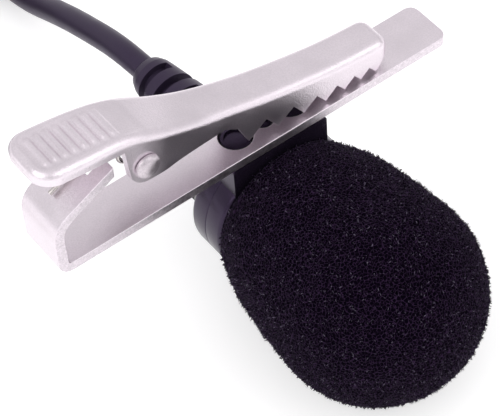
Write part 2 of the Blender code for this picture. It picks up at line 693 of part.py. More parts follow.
def holder():
    """Ring round the body with a saddle under the strip and studs up through it."""
    bore = BODY_RADIUS + FIT_GAP
    edge = 0.6 * MM
    front = 0.0
    rear = -RING_LENGTH
    profile = [(0.0, front), (RING_RADIUS - edge, front), (RING_RADIUS, front - edge),
               (RING_RADIUS, rear + edge), (RING_RADIUS - edge, rear), (0.0, rear)]
    ring = turned("holder", profile, "black_plastic", RING_AXIS, FINE_TURN_STEPS)
    saddle_top = -SHEET - SEAT_GAP
    saddle = box_mesh("saddle", (MIC_FROM_HEEL - SADDLE_LENGTH / 2, 0.1 * MM, -STRIP_DROP + BODY_RADIUS / 2),
                      (MIC_FROM_HEEL + SADDLE_LENGTH / 2, RING_LENGTH - 0.1 * MM, saddle_top))
    combine(ring, add_cutter("saddle", saddle, CLIP), "UNION")
    opening = cylinder_mesh("ring_bore", bore, (0.0, 0.0, front + MM), (0.0, 0.0, rear - MM), FINE_TURN_STEPS - 1)
    combine(ring, add_cutter("ring_bore", opening, RING_AXIS), "DIFFERENCE")
    for name, offset, radius in stud_places():
        x = MIC_FROM_HEEL + offset
        stud = cylinder_mesh(name, radius, (x, STRIP_MIDDLE, saddle_top - MM), (x, STRIP_MIDDLE, -STUD_SUNK))
        combine(ring, add_cutter(name, stud, CLIP), "UNION")


def pivot_rivet():
    under_head = (PIVOT_X - RIVET_HEAD_RADIUS, PIVOT_X, PIVOT_X + RIVET_HEAD_RADIUS)
    half = max(jaw_half_width(x) for x in under_head) + FIT_GAP
    dome = []
    for radius, height in arc((0.0, 0.0), 1.0, 90.0, 15.0, 5):
        dome.append((RIVET_HEAD_RADIUS * radius, half + RIVET_HEAD_HEIGHT * height))
    dome[0] = (0.0, half + RIVET_HEAD_HEIGHT)
    front = [*dome, (RIVET_HEAD_RADIUS, half), (RIVET_RADIUS, half)]
    rear = [(radius, -height) for radius, height in reversed(front)]
    turned("pivot_rivet", front + rear, "bright_steel", RIVET_AXIS, 24)


# ---------------------------------------------------------------- upper jaw

def jaw_plan():
    """Plan outline of the pressed sheet."""
    half = jaw_half_width(0.0)
    corner_x = JAW_REAR + JAW_CORNER_RADIUS
    corner_y = half - JAW_CORNER_RADIUS
    nose_x = JAW_FRONT - JAW_NOSE_CORNER_RADIUS
    nose_y = jaw_half_width(nose_x) - JAW_NOSE_CORNER_RADIUS
    near = [(x, -jaw_half_width(x)) for x in (corner_x + 1.4 * MM * step for step in range(1, 26)) if x < nose_x]
    near += arc((nose_x, -nose_y), JAW_NOSE_CORNER_RADIUS, -90.0, 0.0, 4)
    far = [(x, -y) for x, y in reversed(near)]
    rear = arc((corner_x, corner_y), JAW_CORNER_RADIUS, 90.0, 180.0, 5)
    rear += arc((corner_x, -corner_y), JAW_CORNER_RADIUS, 180.0, 270.0, 5)
    return near + far + rear


def jaw_shell():
    """The plan outline drawn down with a rounded edge, open below, and bent to the crest line."""
    bm = bmesh.new()
    verts = [bm.verts.new((x, STRIP_MIDDLE + y, 0.0)) for x, y in jaw_plan()]
    top = bm.faces.new(verts)
    walls = bmesh.ops.extrude_face_region(bm, geom=[top])
    base = [item for item in walls["geom"] if isinstance(item, bmesh.types.BMVert)]
    bmesh.ops.translate(bm, verts=base, vec=(0.0, 0.0, -JAW_DEPTH))
    bmesh.ops.recalc_face_normals(bm, faces=bm.faces)
    rim = [edge for edge in bm.edges if all(vert.co.z > -MM for vert in edge.verts)]
    bmesh.ops.bevel(bm, geom=rim, offset=JAW_EDGE_RADIUS, segments=3, profile=0.5, affect="EDGES", material=-1)
    below = [face for face in bm.faces if face.normal.z < -0.9]
    bmesh.ops.delete(bm, geom=below, context="FACES_ONLY")
    for station in range(2, int(JAW_FRONT / MM), 2):
        geometry = list(bm.verts) + list(bm.edges) + list(bm.faces)
        bmesh.ops.bisect_plane(bm, geom=geometry, dist=1e-7, plane_co=(station * MM, 0.0, 0.0),
                               plane_no=(1.0, 0.0, 0.0))
    for vert in bm.verts:
        vert.co.z += crest(vert.co.x)
    return mesh_from("upper_jaw", bm)


def tooth_line():
    """Points along the teeth, from the first tip to the last: tip, notch, tip and so on."""
    points = []
    x = TOOTH_FIRST
    pitch = TOOTH_FIRST_PITCH
    for index in range(TOOTH_COUNT):
        points.append((x, tip_height(x)))
        if index < TOOTH_COUNT - 1:
            notch_x = x + pitch * TOOTH_RISE_SHARE
            points.append((notch_x, tip_height(notch_x) + pitch * TOOTH_DEPTH_RATIO))
        x += pitch
        pitch *= TOOTH_PITCH_RATIO
    return points


def tip_height(x):
    """Height of the tooth tips over the strip: closed at the nose, rising towards the pivot."""
    slope = (TOOTH_FIRST_HEIGHT - SEAT_GAP) / (TOOTH_CLOSED_FROM - TOOTH_FIRST)
    return SEAT_GAP + max(0.0, TOOTH_CLOSED_FROM - x) * slope


def jaw_side():
    """Side outline that trims the shell: pad rim, cheeks and teeth."""
    above = crest(0.0) + 4 * MM
    rim = [(x * MM, crest(x * MM) - PAD_RIM) for x in (-1.0, 2.0, 4.5, 7.0)]
    cheek = rounded([(JAW_WALL_REAR, crest(JAW_WALL_REAR) - PAD_RIM), (JAW_WALL_REAR, JAW_WALL_BOTTOM_REAR),
                     (JAW_WALL_FRONT, JAW_WALL_BOTTOM_FRONT)], (JAW_HEEL_RADIUS,), BEND_STEPS)
    throat_x = TOOTH_FIRST - 1.1 * MM
    throat = (throat_x, JAW_WALL_BOTTOM_FRONT - MM)
    last_tip = tooth_line()[-1][0]
    front = JAW_FRONT + MM
    nose = [(last_tip + 0.3 * MM, SEAT_GAP), (JAW_FRONT - 0.2 * MM, NOSE_LIP_HEIGHT), (front, NOSE_LIP_HEIGHT),
            (front, above)]
    return [*rim, *cheek, throat, *tooth_line(), *nose, (-MM, above)]


def pad_tilt():
    """Slope angle of the thumb pad."""
    return math.atan2(crest(PANEL_START) - crest(PANEL_END - 2 * MM), PANEL_END - 2 * MM - PANEL_START)


def upper_jaw():
    """Pressed jaw: pad with its ribbed panel, cheeks round the rivet and toothed nose."""
    jaw = add_part("upper_jaw", jaw_shell(), "satin_nickel", JAW_PIVOT, FROM_PIVOT)
    thicken(jaw, JAW_SHEET, -1.0)
    side = plate("jaw_side", jaw_side(), STRIP_WIDTH + 6 * MM, "Y")
    combine(jaw, add_cutter("jaw_side", side, CLIP, (0.0, STRIP_MIDDLE, 0.0)), "INTERSECT")
    bore = cylinder_mesh("jaw_bore", RIVET_RADIUS + FIT_GAP, (PIVOT_X, -3 * MM, PIVOT_HEIGHT),
                         (PIVOT_X, STRIP_WIDTH + 3 * MM, PIVOT_HEIGHT), SMALL_TURN_STEPS)
    combine(jaw, add_cutter("jaw_bore", bore, CLIP), "DIFFERENCE")
    tilt = add_empty("pad_slope", (PANEL_START, STRIP_MIDDLE, crest(PANEL_START)), CLIP,
                     (0.0, pad_tilt(), 0.0))
    length = PANEL_END - PANEL_START
    half = PANEL_WIDTH / 2
    corners = []
    for x, y, angle in ((length, half, 0.0), (0.0, half, 90.0), (0.0, -half, 180.0), (length, -half, 270.0)):
        inset_x = math.copysign(PANEL_CORNER_RADIUS, length / 2 - x)
        inset_y = math.copysign(PANEL_CORNER_RADIUS, -y)
        corners += arc((x + inset_x, y + inset_y), PANEL_CORNER_RADIUS, angle, angle + 90.0, 4)
    panel = add_cutter("pad_panel", plate("pad_panel", corners, 2 * MM, "Z"), tilt,
                       (0.0, 0.0, MM - PANEL_DEPTH))
    combine(jaw, panel, "DIFFERENCE")
    for index in range(RIB_COUNT):
        x = (RIB_FIRST - PANEL_START) + index * RIB_PITCH
        name = "pad_rib_%d" % index
        bar = cylinder_mesh(name, RIB_RADIUS, (x, -RIB_WIDTH / 2, -PANEL_DEPTH - 0.05 * MM),
                            (x, RIB_WIDTH / 2, -PANEL_DEPTH - 0.05 * MM), 10)
        combine(jaw, add_cutter(name, bar, tilt), "UNION")


# ---------------------------------------------------------------- spring

def spring_points(start_deg, end_deg, near, pitch, arm):
    """Turns of the spring about the pivot, in side view angles, followed by its arm."""
    steps = max(2, round(abs(end_deg - start_deg) / 36.0))
    points = []
    for step in range(steps + 1):
        share = step / steps
        angle = math.radians(start_deg + (end_deg - start_deg) * share)
        points.append(Vector((PIVOT_X + SPRING_COIL_RADIUS * math.cos(angle), near + pitch * share,
                              PIVOT_HEIGHT + SPRING_COIL_RADIUS * math.sin(angle))))
    last_y = points[-1].y
    for x, z in arm:
        points.append(Vector((x, last_y, z)))
    return points


def leg_wire_height(x):
    lift = (SPRING_WIRE_RADIUS + SEAT_GAP) / math.cos(math.radians(LEG_ANGLE_DEG))
    return leg_top(x) + lift


def springs():
    """The torsion spring in two halves: one stays with the lower jaw, one swings with the upper."""
    inner_near = STRIP_MIDDLE - EAR_OUTER_WIDTH / 2 + SHEET
    near = inner_near + SPRING_WIRE_RADIUS + FIT_GAP
    corner_x = SPRING_WINDOW_START - 0.2 * MM
    leg = [(corner_x, leg_wire_height(corner_x)), (SPRING_LEG_END, leg_wire_height(SPRING_LEG_END))]
    lower = spring_points(-270.0, 94.0, near, SPRING_COIL_PITCH, leg)
    arm_x = SPRING_ARM_END
    arm = [(arm_x, crest(arm_x) - JAW_SHEET - SPRING_WIRE_RADIUS - SEAT_GAP)]
    far_y = near + SPRING_COIL_PITCH + 2 * SPRING_WIRE_RADIUS + FIT_GAP * 3
    upper = spring_points(-190.0, 68.0, far_y, 0.0, arm)
    for name, points in (("spring_fixed_arm", lower), ("spring_moving_arm", upper)):
        world = [CLIP_MATRIX @ point for point in points]
        tube(name, world, SPRING_WIRE_RADIUS, "spring_steel", bevel_resolution=1)


# ---------------------------------------------------------------- cord and plug

def coil_points():
    """Two layers of turns that spiral in, climb and spiral out again."""
    outer = COIL_MEAN_RADIUS + COIL_TURN_PITCH * COIL_LAYER_TURNS / 2
    centre = COIL_START + Vector((-outer, 0.0, 0.0))
    total = 2 * COIL_LAYER_TURNS
    steps = round(total * COIL_POINTS_PER_TURN)
    points = []
    for step in range(steps + 1):
        turn = total * step / steps
        radius = outer - COIL_TURN_PITCH * (COIL_LAYER_TURNS - abs(turn - COIL_LAYER_TURNS))
        climb = min(1.0, max(0.0, (turn - COIL_LAYER_TURNS + 0.25) * 2))
        height = COIL_TURN_PITCH * climb * climb * (3 - 2 * climb)
        angle = 2 * math.pi * turn
        points.append(centre + Vector((radius * math.cos(angle), radius * math.sin(angle), height)))
    lead_in = points[0] + Vector((0.0, -2 * CORD_RADIUS, 0.0))
    lead_out = points[-1] + Vector((0.0, -2 * CORD_RADIUS, 0.0))
    return [lead_in, *points, lead_out]


def least_gap(points, radius, skip):
    """Least clear gap between stretches of one tube that lie further apart than skip points."""
    nearest = min((first - second).length
                  for index, first in enumerate(points)
                  for second in points[index + skip:])
    return nearest - 2 * radius


def path_length(points):
    return sum((second - first).length for first, second in zip(points, points[1:]))


def cord():
    exit_point = Vector((MIC_X, RELIEF_EXIT_Y + SEAT_GAP, AXIS_HEIGHT))
    coil = coil_points()
    touch = coil[0] + Vector((0.0, -SEAT_GAP, 0.0))
    route = [exit_point] + [Vector(point) * MM for point in CORD_ROUTE] + [touch]
    lead = smooth_curve(route, 2.5 * CORD_RADIUS * 2)
    tube("cord_lead", lead, CORD_RADIUS, "cord_rubber")
    tube("cord_coil", coil, CORD_RADIUS, "cord_rubber", bevel_resolution=1)
    length = path_length(lead) + path_length(coil)
    gap = least_gap(coil, CORD_RADIUS, COIL_POINTS_PER_TURN // 2)
    print("cord length %.3f m, coil's least gap to itself %.2f mm" % (length, gap / MM))
    return coil[-1]


def plug(cord_end):
    """3.5 mm stereo plug lying beside the coil, pointing along -Y."""
    axis = add_empty("plug_axis", cord_end + Vector((0.0, -SEAT_GAP, 0.0)), None, (math.pi / 2, 0.0, 0.0))
    grip_start = PLUG_TAIL_LENGTH
    grip_end = grip_start + PLUG_GRIP_LENGTH
    edge = 0.5 * MM
    turned("plug_tail", [
        (0.0, grip_start - SEAT_GAP), (PLUG_TAIL_ROOT_RADIUS, grip_start - SEAT_GAP),
        (PLUG_TAIL_END_RADIUS, 0.0), (0.0, 0.0)], "cord_rubber", axis, SMALL_TURN_STEPS)
    turned("plug_grip", [
        (0.0, grip_end), (PLUG_GRIP_RADIUS - edge, grip_end), (PLUG_GRIP_RADIUS, grip_end - edge),
        (PLUG_GRIP_RADIUS, grip_start + edge), (PLUG_GRIP_RADIUS - edge, grip_start), (0.0, grip_start)],
        "black_plastic", axis)
    collar_start = grip_end + SEAT_GAP
    collar_end = collar_start + PLUG_COLLAR_LENGTH
    shaft_end = collar_end + PLUG_SHAFT_LENGTH
    tip_start = shaft_end - PLUG_TIP_LENGTH
    ring_end = tip_start - PLUG_BAND_LENGTH
    ring_start = ring_end - PLUG_RING_LENGTH
    sleeve_end = ring_start - PLUG_BAND_LENGTH
    rod = PLUG_ROD_RADIUS
    bore = rod + FIT_GAP
    shaft = PLUG_SHAFT_RADIUS
    turned("plug_sleeve", [
        (0.0, sleeve_end), (shaft, sleeve_end), (shaft, collar_end), (PLUG_COLLAR_RADIUS, collar_end),
        (PLUG_COLLAR_RADIUS, collar_start), (0.0, collar_start)], "nickel_contact", axis, 24)
    waist = shaft * 0.62
    turned("plug_tip", [
        (0.0, shaft_end), (shaft * 0.45, shaft_end - shaft * 0.25), (shaft, shaft_end - shaft),
        (waist, tip_start + shaft * 0.75), (shaft, tip_start + shaft * 0.3), (shaft, tip_start),
        (rod, tip_start), (rod, sleeve_end + SEAT_GAP), (0.0, sleeve_end + SEAT_GAP)],
        "nickel_contact", axis, 24)
    side_gap = FIT_GAP
    for name, start, end, finish in (("plug_band_rear", sleeve_end, ring_start, "black_plastic"),
                                     ("plug_ring", ring_start, ring_end, "nickel_contact"),
                                     ("plug_band_front", ring_end, tip_start, "black_plastic")):
        turned(name, [(bore, end - side_gap), (shaft, end - side_gap), (shaft, start + side_gap),
                      (bore, start + side_gap)], finish, axis, 24)


bpy.context.view_layer.update()
MIC_AXIS_MATRIX = MIC_AXIS.matrix_world.copy()
CLIP_MATRIX = CLIP.matrix_world.copy()

windscreen()
body_tube()
front_grille()
felt_disc()
capsule_mount()
capsule()
capsule_board()
inner_wires()
rear_cap()
bend_relief()
crimp()
cord_tail()
lower_jaw()
holder()
pivot_rivet()
upper_jaw()
springs()
plug(cord())
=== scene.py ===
"""Lavalier microphone on a spring clip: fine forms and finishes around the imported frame."""
import json
import math
import random
from bisect import bisect_right

import bmesh
import bpy
from mathutils import Matrix, Vector, noise


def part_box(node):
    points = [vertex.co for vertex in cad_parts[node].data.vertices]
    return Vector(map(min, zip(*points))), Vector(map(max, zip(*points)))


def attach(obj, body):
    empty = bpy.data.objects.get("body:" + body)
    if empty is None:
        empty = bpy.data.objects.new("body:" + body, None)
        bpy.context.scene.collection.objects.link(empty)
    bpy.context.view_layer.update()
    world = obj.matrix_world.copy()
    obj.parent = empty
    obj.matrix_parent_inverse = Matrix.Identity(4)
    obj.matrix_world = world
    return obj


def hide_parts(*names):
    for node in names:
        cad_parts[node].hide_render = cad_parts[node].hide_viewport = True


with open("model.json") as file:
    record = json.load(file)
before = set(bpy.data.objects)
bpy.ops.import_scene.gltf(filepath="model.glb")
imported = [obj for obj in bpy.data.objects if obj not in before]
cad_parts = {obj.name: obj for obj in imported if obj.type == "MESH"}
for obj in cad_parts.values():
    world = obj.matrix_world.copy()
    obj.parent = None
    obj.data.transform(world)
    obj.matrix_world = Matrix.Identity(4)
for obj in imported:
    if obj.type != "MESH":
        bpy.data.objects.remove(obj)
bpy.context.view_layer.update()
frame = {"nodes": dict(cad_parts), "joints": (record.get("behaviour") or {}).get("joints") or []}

bl_info = {
    "name": "Clip-on microphone",
    "version": (1, 0, 0),
    "blender": (4, 5, 0),
    "location": "3D View > Sidebar > Microphone",
    "description": "Builds the microphone's foam, clip, cord and plug around the packed frame",
    "category": "Object",
}

MM = 0.001


# ---------------------------------------------------------------- places, from the frame

def hinge_place(name):
    """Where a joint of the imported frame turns."""
    return next(Vector(joint["pos_m"]) for joint in frame["joints"] if joint["name"] == name)


def low_corner(node):
    return Vector(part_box(node)[0])


def high_corner(node):
    return Vector(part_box(node)[1])


def span_ahead(start, node):
    """How far a node's two ends lie along -Y from a start, the end nearer +Y first."""
    return start.y - high_corner(node).y, start.y - low_corner(node).y


def half_height(node):
    return (high_corner(node).z - low_corner(node).z) / 2


MIC_CENTRE = hinge_place("clip_turn")
PIVOT = hinge_place("jaw_open")
SHEET = 1.1 * MM
CLIP_ORIGIN = low_corner("lower_jaw") + Vector((0.0, 0.0, SHEET))
STRIP_WIDTH = high_corner("lower_jaw").y - low_corner("lower_jaw").y
STRIP_MIDDLE = STRIP_WIDTH / 2
PIVOT_X = PIVOT.x - CLIP_ORIGIN.x
PIVOT_HEIGHT = PIVOT.z - CLIP_ORIGIN.z
ALONG_MINUS_Y = Matrix.Rotation(math.pi / 2, 4, "X")
MIC = Matrix.Translation(MIC_CENTRE) @ ALONG_MINUS_Y
CLIP = Matrix.Translation(CLIP_ORIGIN)
RIVET = Matrix.Translation(PIVOT) @ ALONG_MINUS_Y
PLUG_START = (low_corner("plug_tail") + high_corner("plug_tail")) / 2
PLUG_START.y = high_corner("plug_tail").y
PLUG = Matrix.Translation(PLUG_START) @ ALONG_MINUS_Y

CORD_RADIUS = 1.4 * MM
SEAT_GAP = 0.25 * MM
FIT_GAP = 0.05 * MM
CORD_EXIT = Vector((MIC_CENTRE.x, high_corner("bend_relief").y + SEAT_GAP, MIC_CENTRE.z))
CORD_ROUTE = [(2.3, 28.0, 10.4), (2.4, 31.6, 9.45), (2.4, 35.4, 8.2), (2.4, 39.4, 6.75), (2.4, 43.6, 4.95),
              (2.3, 48.0, 3.1), (2.2, 53.0, 1.9), (2.0, 58.5, 1.45), (1.8, 63.5, 1.4)]
COIL_START = Vector((1.7 * MM, 68.5 * MM, CORD_RADIUS))
COIL_MEAN_RADIUS = 16.5 * MM
COIL_TURN_PITCH = 3.3 * MM
COIL_LAYER_TURNS = 5.25
COIL_CLIMB_TURNS = 0.5

JAW_CREST = [(0.0, 13.25), (4.6, 12.65), (8.2, 12.05), (10.2, 11.35), (12.2, 10.35), (14.5, 9.2),
             (17.3, 8.0), (20.5, 6.95), (24.5, 5.8), (28.5, 4.9), (33.5, 4.0), (38.8, 3.5), (42.0, 3.3)]
JAW_SPAN = [(0.0, 6.8), (5.0, 6.75), (8.5, 6.4), (12.0, 6.3), (14.0, 5.75), (16.5, 5.25), (20.0, 4.75),
            (24.0, 4.55), (30.0, 4.4), (42.0, 4.2)]
JAW_SHEET = 0.8 * MM
JAW_REAR = -0.6 * MM
JAW_FRONT = 39.6 * MM
JAW_DEPTH = 12.0 * MM
JAW_CORNER_RADIUS = 2.2 * MM
JAW_NOSE_CORNER_RADIUS = 1.2 * MM
JAW_EDGE_RADIUS = 0.95 * MM
JAW_STEP = 0.5 * MM
PAD_STEP = 0.12 * MM
PAD_LINE_PITCH = 0.145 * MM
PAD_LINES_PER_SIDE = 16
CHEEK_CORNER_RADIUS = 2.0 * MM
CHEEK_REAR = 8.5 * MM
CHEEK_FRONT = 19.6 * MM
CHEEK_BOTTOM_REAR = 5.4 * MM
CHEEK_BOTTOM_FRONT = 4.8 * MM
NOSE_LIP_HEIGHT = 2.0 * MM
PAD_RIM = 1.5 * MM
PAD_END = 12.0 * MM
PANEL_START = 0.3 * MM
PANEL_END = 11.1 * MM
PANEL_HALF = 2.45 * MM
PANEL_CORNER = 1.0 * MM
RIB_FIRST = 1.3 * MM
RIB_PITCH = 1.01 * MM
RIB_HALF = 2.1 * MM
TOOTH_COUNT = 7
TOOTH_FIRST = 22.2 * MM
TOOTH_FIRST_PITCH = 3.55 * MM
TOOTH_PITCH_RATIO = 0.87
TOOTH_DEPTH_RATIO = 0.5
TOOTH_RISE_SHARE = 0.62
TOOTH_FIRST_HEIGHT = 1.3 * MM
TOOTH_CLOSED_FROM = 31.0 * MM

RIVET_RADIUS = 0.9 * MM
RIVET_HEAD_RADIUS = 1.32 * MM
RIVET_HEAD_HEIGHT = 0.75 * MM
SPRING_WIRE_RADIUS = 0.25 * MM
SPRING_COIL_RADIUS = 1.45 * MM
SPRING_HALF_WIDTH = 1.2 * MM
FIXED_COIL_PITCH = 0.95 * MM
MOVING_COIL_OFFSET = 1.6 * MM
MOVING_ARM_REACH = 3.2 * MM
LEG_ANGLE_DEG = 27.5
LEG_BASE_HEIGHT = 5.4 * MM

SADDLE_HALF = 5.65 * MM
STUD_SPACING = 3.3 * MM
STUD_RADIUS = 1.5 * MM
CENTRE_STUD_RADIUS = 0.8 * MM
STUD_RECESS = 0.3 * MM
PARTING_LINE = 0.07 * MM
GRILLE_HOLE_RADIUS = 0.6 * MM
GRILLE_RING_RADIUS = 2.6 * MM
BODY_WALL = 0.8 * MM
CAP_REAR_RADIUS = 4.3 * MM
CAP_MOUTH_RADIUS = 2.55 * MM
CAP_SEAT_RADIUS = 3.25 * MM
RELIEF_RADIUS = 2.5 * MM
RELIEF_FLANGE_RADIUS = 3.2 * MM
RELIEF_SHOULDER_RADIUS = 3.6 * MM
RELIEF_SHOULDER = -13.25 * MM
SLOT_OUTER_RADIUS = 4.3 * MM
SLOT_INNER_RADIUS = 1.75 * MM
SLOT_WIDTH = 1.1 * MM
SLOT_PITCH = 2.5 * MM
SLOT_COUNT = 3
SLOT_BRIDGE_DEG = 70.0
SLOT_FIRST_BRIDGE_DEG = 24.0
FOAM_MOUTH_RADIUS = 8.2 * MM
FOAM_BARE_RADIUS = 7.4 * MM
FOAM_BARE_FROM = -18 * MM
CELL_WALL_SPAN = 0.42
POLE_ANGLE = 0.003
LUMP_SIZE = 2.6 * MM
LUMP_HEIGHT = 0.08 * MM
SPECK_SIZE = 0.17 * MM
SPECK_HEIGHT = 0.05 * MM
PLUG_TIP_LENGTH = 4.0 * MM
PLUG_COLLAR_LENGTH = 1.2 * MM
PLUG_ROD_RADIUS = 0.8 * MM
TAIL_RADIUS = 3.0 * MM
TAIL_RIB_COUNT = 4
TAIL_RIB_TAPER = 0.28 * MM
GRIP_RIB_COUNT = 7
GRIP_RIB_PITCH = 1.15 * MM

CAMERA_PLACE = (-0.07733, -0.11361, 0.17876)
CAMERA_TURN_DEG = -33.43
CAMERA_TILT_DEG = 50.32
CAMERA_ROLL_DEG = -4.75
LIGHTS = (("key_light", (-0.5, -0.1, 0.45), (0.6, 0.6), 1.3),
          ("front_light", (0.3, -0.5, 0.4), (0.5, 0.5), 0.75))
LIGHT_TARGET = (0.0, 0.0, 0.012)
FLOOR_GLOW = 0.42


# ---------------------------------------------------------------- settings

class FoamSettings(bpy.types.PropertyGroup):
    pore: bpy.props.FloatProperty(
        name="Pore size", description="Width of one cell of the foam", default=0.34 * MM,
        min=0.0001, precision=5, subtype="DISTANCE", unit="LENGTH")
    depth: bpy.props.FloatProperty(
        name="Pore depth", description="How far cells sink below their walls", default=0.13 * MM,
        precision=5, subtype="DISTANCE", unit="LENGTH")
    strut_length: bpy.props.FloatProperty(
        name="Strut length", description="Longest loose strut on the surface", default=0.36 * MM,
        precision=5, subtype="DISTANCE", unit="LENGTH")
    strut_share: bpy.props.FloatProperty(
        name="Strut share", description="Share of the surface's faces that carry a loose strut",
        default=0.045, min=0.0, max=0.2, subtype="FACTOR")
    strut_colour: bpy.props.FloatVectorProperty(
        name="Struts", description="Colour of the foam's cell walls", size=4,
        default=(0.058, 0.030, 0.078, 1.0), subtype="COLOR")
    # Painted shade: the pore colour is set far darker than the walls, for the shade deep in the cells.
    pore_shade_colour: bpy.props.FloatVectorProperty(
        name="Pores", description="Colour deep in the foam's cells", size=4,
        default=(0.0010, 0.0004, 0.0018, 1.0), subtype="COLOR")


class ClipSettings(bpy.types.PropertyGroup):
    metal: bpy.props.FloatVectorProperty(
        name="Plating", description="Colour of the satin plating", size=4,
        default=(0.86, 0.785, 0.845, 1.0), subtype="COLOR")
    edge: bpy.props.FloatProperty(
        name="Edge radius", description="Rounding of the sheet's cut edges", default=0.07 * MM,
        precision=5, subtype="DISTANCE", unit="LENGTH")
    rib_count: bpy.props.IntProperty(
        name="Ribs", description="Ribs on the thumb pad", default=8, min=0)
    rib_height: bpy.props.FloatProperty(
        name="Rib height", description="Height of a rib over the panel", default=0.22 * MM,
        precision=5, subtype="DISTANCE", unit="LENGTH")
    panel_depth: bpy.props.FloatProperty(
        name="Panel depth", description="How far the ribbed panel is sunk", default=0.12 * MM,
        precision=5, subtype="DISTANCE", unit="LENGTH")


class PlasticSettings(bpy.types.PropertyGroup):
    plastic: bpy.props.FloatVectorProperty(
        name="Plastic", description="Colour of the holder, the cap and the plug's grip", size=4,
        default=(0.013, 0.009, 0.018, 1.0), subtype="COLOR")
    rubber: bpy.props.FloatVectorProperty(
        name="Rubber", description="Colour of the cord and of the bend relief", size=4,
        default=(0.026, 0.019, 0.036, 1.0), subtype="COLOR")
    gloss: bpy.props.FloatVectorProperty(
        name="Gloss", description="Tint of the reflections in plastic and rubber", size=3,
        default=(0.74, 0.54, 1.0), subtype="COLOR")


class StageSettings(bpy.types.PropertyGroup):
    lens: bpy.props.FloatProperty(
        name="Lens", description="Focal length of the camera in millimetres", default=158.38)
    sky: bpy.props.FloatProperty(
        name="Surroundings", description="Strength of the light from all sides", default=0.8)
    floor: bpy.props.FloatVectorProperty(
        name="Floor", description="Colour of the floor", size=4, default=(0.86, 0.86, 0.86, 1.0),
        subtype="COLOR")


# ---------------------------------------------------------------- materials

def add_node(tree, kind, values=None, **settings):
    """Adds a node with its settings and the values of its inputs."""
    node = tree.nodes.new(kind)
    for key, value in settings.items():
        setattr(node, key, value)
    set_inputs(node, values or {})
    return node


def set_inputs(node, values):
    for key, value in values.items():
        node.inputs[key].default_value = value


def join(tree, *pairs):
    """Links nodes, each pair given as (node, output, node, input)."""
    for source, output, target, entry in pairs:
        tree.links.new(source.outputs[output], target.inputs[entry])


def new_material(name):
    """A new material, its node tree and its shader."""
    material = bpy.data.materials.new(name)
    material.use_nodes = True
    return material, material.node_tree, material.node_tree.nodes["Principled BSDF"]


def grain_group():
    """Shared effect: fine grain and slow blotches as a colour, a roughness and a height."""
    group = bpy.data.node_groups.get("surface_grain")
    if group:
        return group
    group = bpy.data.node_groups.new("surface_grain", "ShaderNodeTree")
    for name, kind, default in (("Colour", "NodeSocketColor", (0.5, 0.5, 0.5, 1.0)),
                                ("Shade", "NodeSocketColor", (0.4, 0.4, 0.4, 1.0)),
                                ("Grain Scale", "NodeSocketFloat", 8000.0),
                                ("Blotch Scale", "NodeSocketFloat", 300.0),
                                ("Roughness Low", "NodeSocketFloat", 0.3),
                                ("Roughness High", "NodeSocketFloat", 0.5)):
        socket = group.interface.new_socket(name=name, in_out="INPUT", socket_type=kind)
        socket.default_value = default
    for name, kind in (("Colour", "NodeSocketColor"), ("Roughness", "NodeSocketFloat"),
                       ("Height", "NodeSocketFloat")):
        group.interface.new_socket(name=name, in_out="OUTPUT", socket_type=kind)
    given = add_node(group, "NodeGroupInput")
    result = add_node(group, "NodeGroupOutput")
    place = add_node(group, "ShaderNodeTexCoord")
    grain = add_node(group, "ShaderNodeTexNoise", {"Detail": 2.0})
    blotch = add_node(group, "ShaderNodeTexNoise", {"Detail": 4.0})
    both = add_node(group, "ShaderNodeMath", operation="MULTIPLY")
    spread = add_node(group, "ShaderNodeMapRange", {"From Min": 0.12, "From Max": 0.4})
    tint = add_node(group, "ShaderNodeMix", data_type="RGBA")
    rough = add_node(group, "ShaderNodeMapRange", {"From Min": 0.3, "From Max": 0.7})
    join(group,
         (place, "Object", grain, "Vector"),
         (place, "Object", blotch, "Vector"),
         (given, "Grain Scale", grain, "Scale"),
         (given, "Blotch Scale", blotch, "Scale"),
         (grain, "Fac", both, 0),
         (blotch, "Fac", both, 1),
         (both, 0, spread, "Value"),
         (spread, "Result", tint, "Factor"),
         (given, "Shade", tint, "A"),
         (given, "Colour", tint, "B"),
         (blotch, "Fac", rough, "Value"),
         (given, "Roughness Low", rough, "To Min"),
         (given, "Roughness High", rough, "To Max"),
         (tint, "Result", result, "Colour"),
         (rough, "Result", result, "Roughness"),
         (grain, "Fac", result, "Height"))
    return group


def grained(name, colour, shade, roughness, metallic=0.0, grain=8000.0, blotch=300.0, bump=0.1,
            relief=0.01 * MM, gloss_tint=(1.0, 1.0, 1.0)):
    """A material whose colour, roughness and relief come from the shared grain."""
    material, tree, shader = new_material(name)
    set_inputs(shader, {"Metallic": metallic, "Specular Tint": (*gloss_tint, 1.0)})
    surface = add_node(tree, "ShaderNodeGroup", {
        "Colour": (*colour[:3], 1.0), "Shade": (*shade[:3], 1.0), "Grain Scale": grain,
        "Blotch Scale": blotch, "Roughness Low": roughness[0], "Roughness High": roughness[1],
    }, node_tree=grain_group())
    height = add_node(tree, "ShaderNodeBump", {"Strength": bump, "Distance": relief})
    join(tree,
         (surface, "Colour", shader, "Base Color"),
         (surface, "Roughness", shader, "Roughness"),
         (surface, "Height", height, "Height"),
         (height, "Normal", shader, "Normal"))
    material.diffuse_color = (*colour[:3], 1.0)
    return material


def darker(colour, factor):
    return tuple(channel * factor for channel in colour[:3])


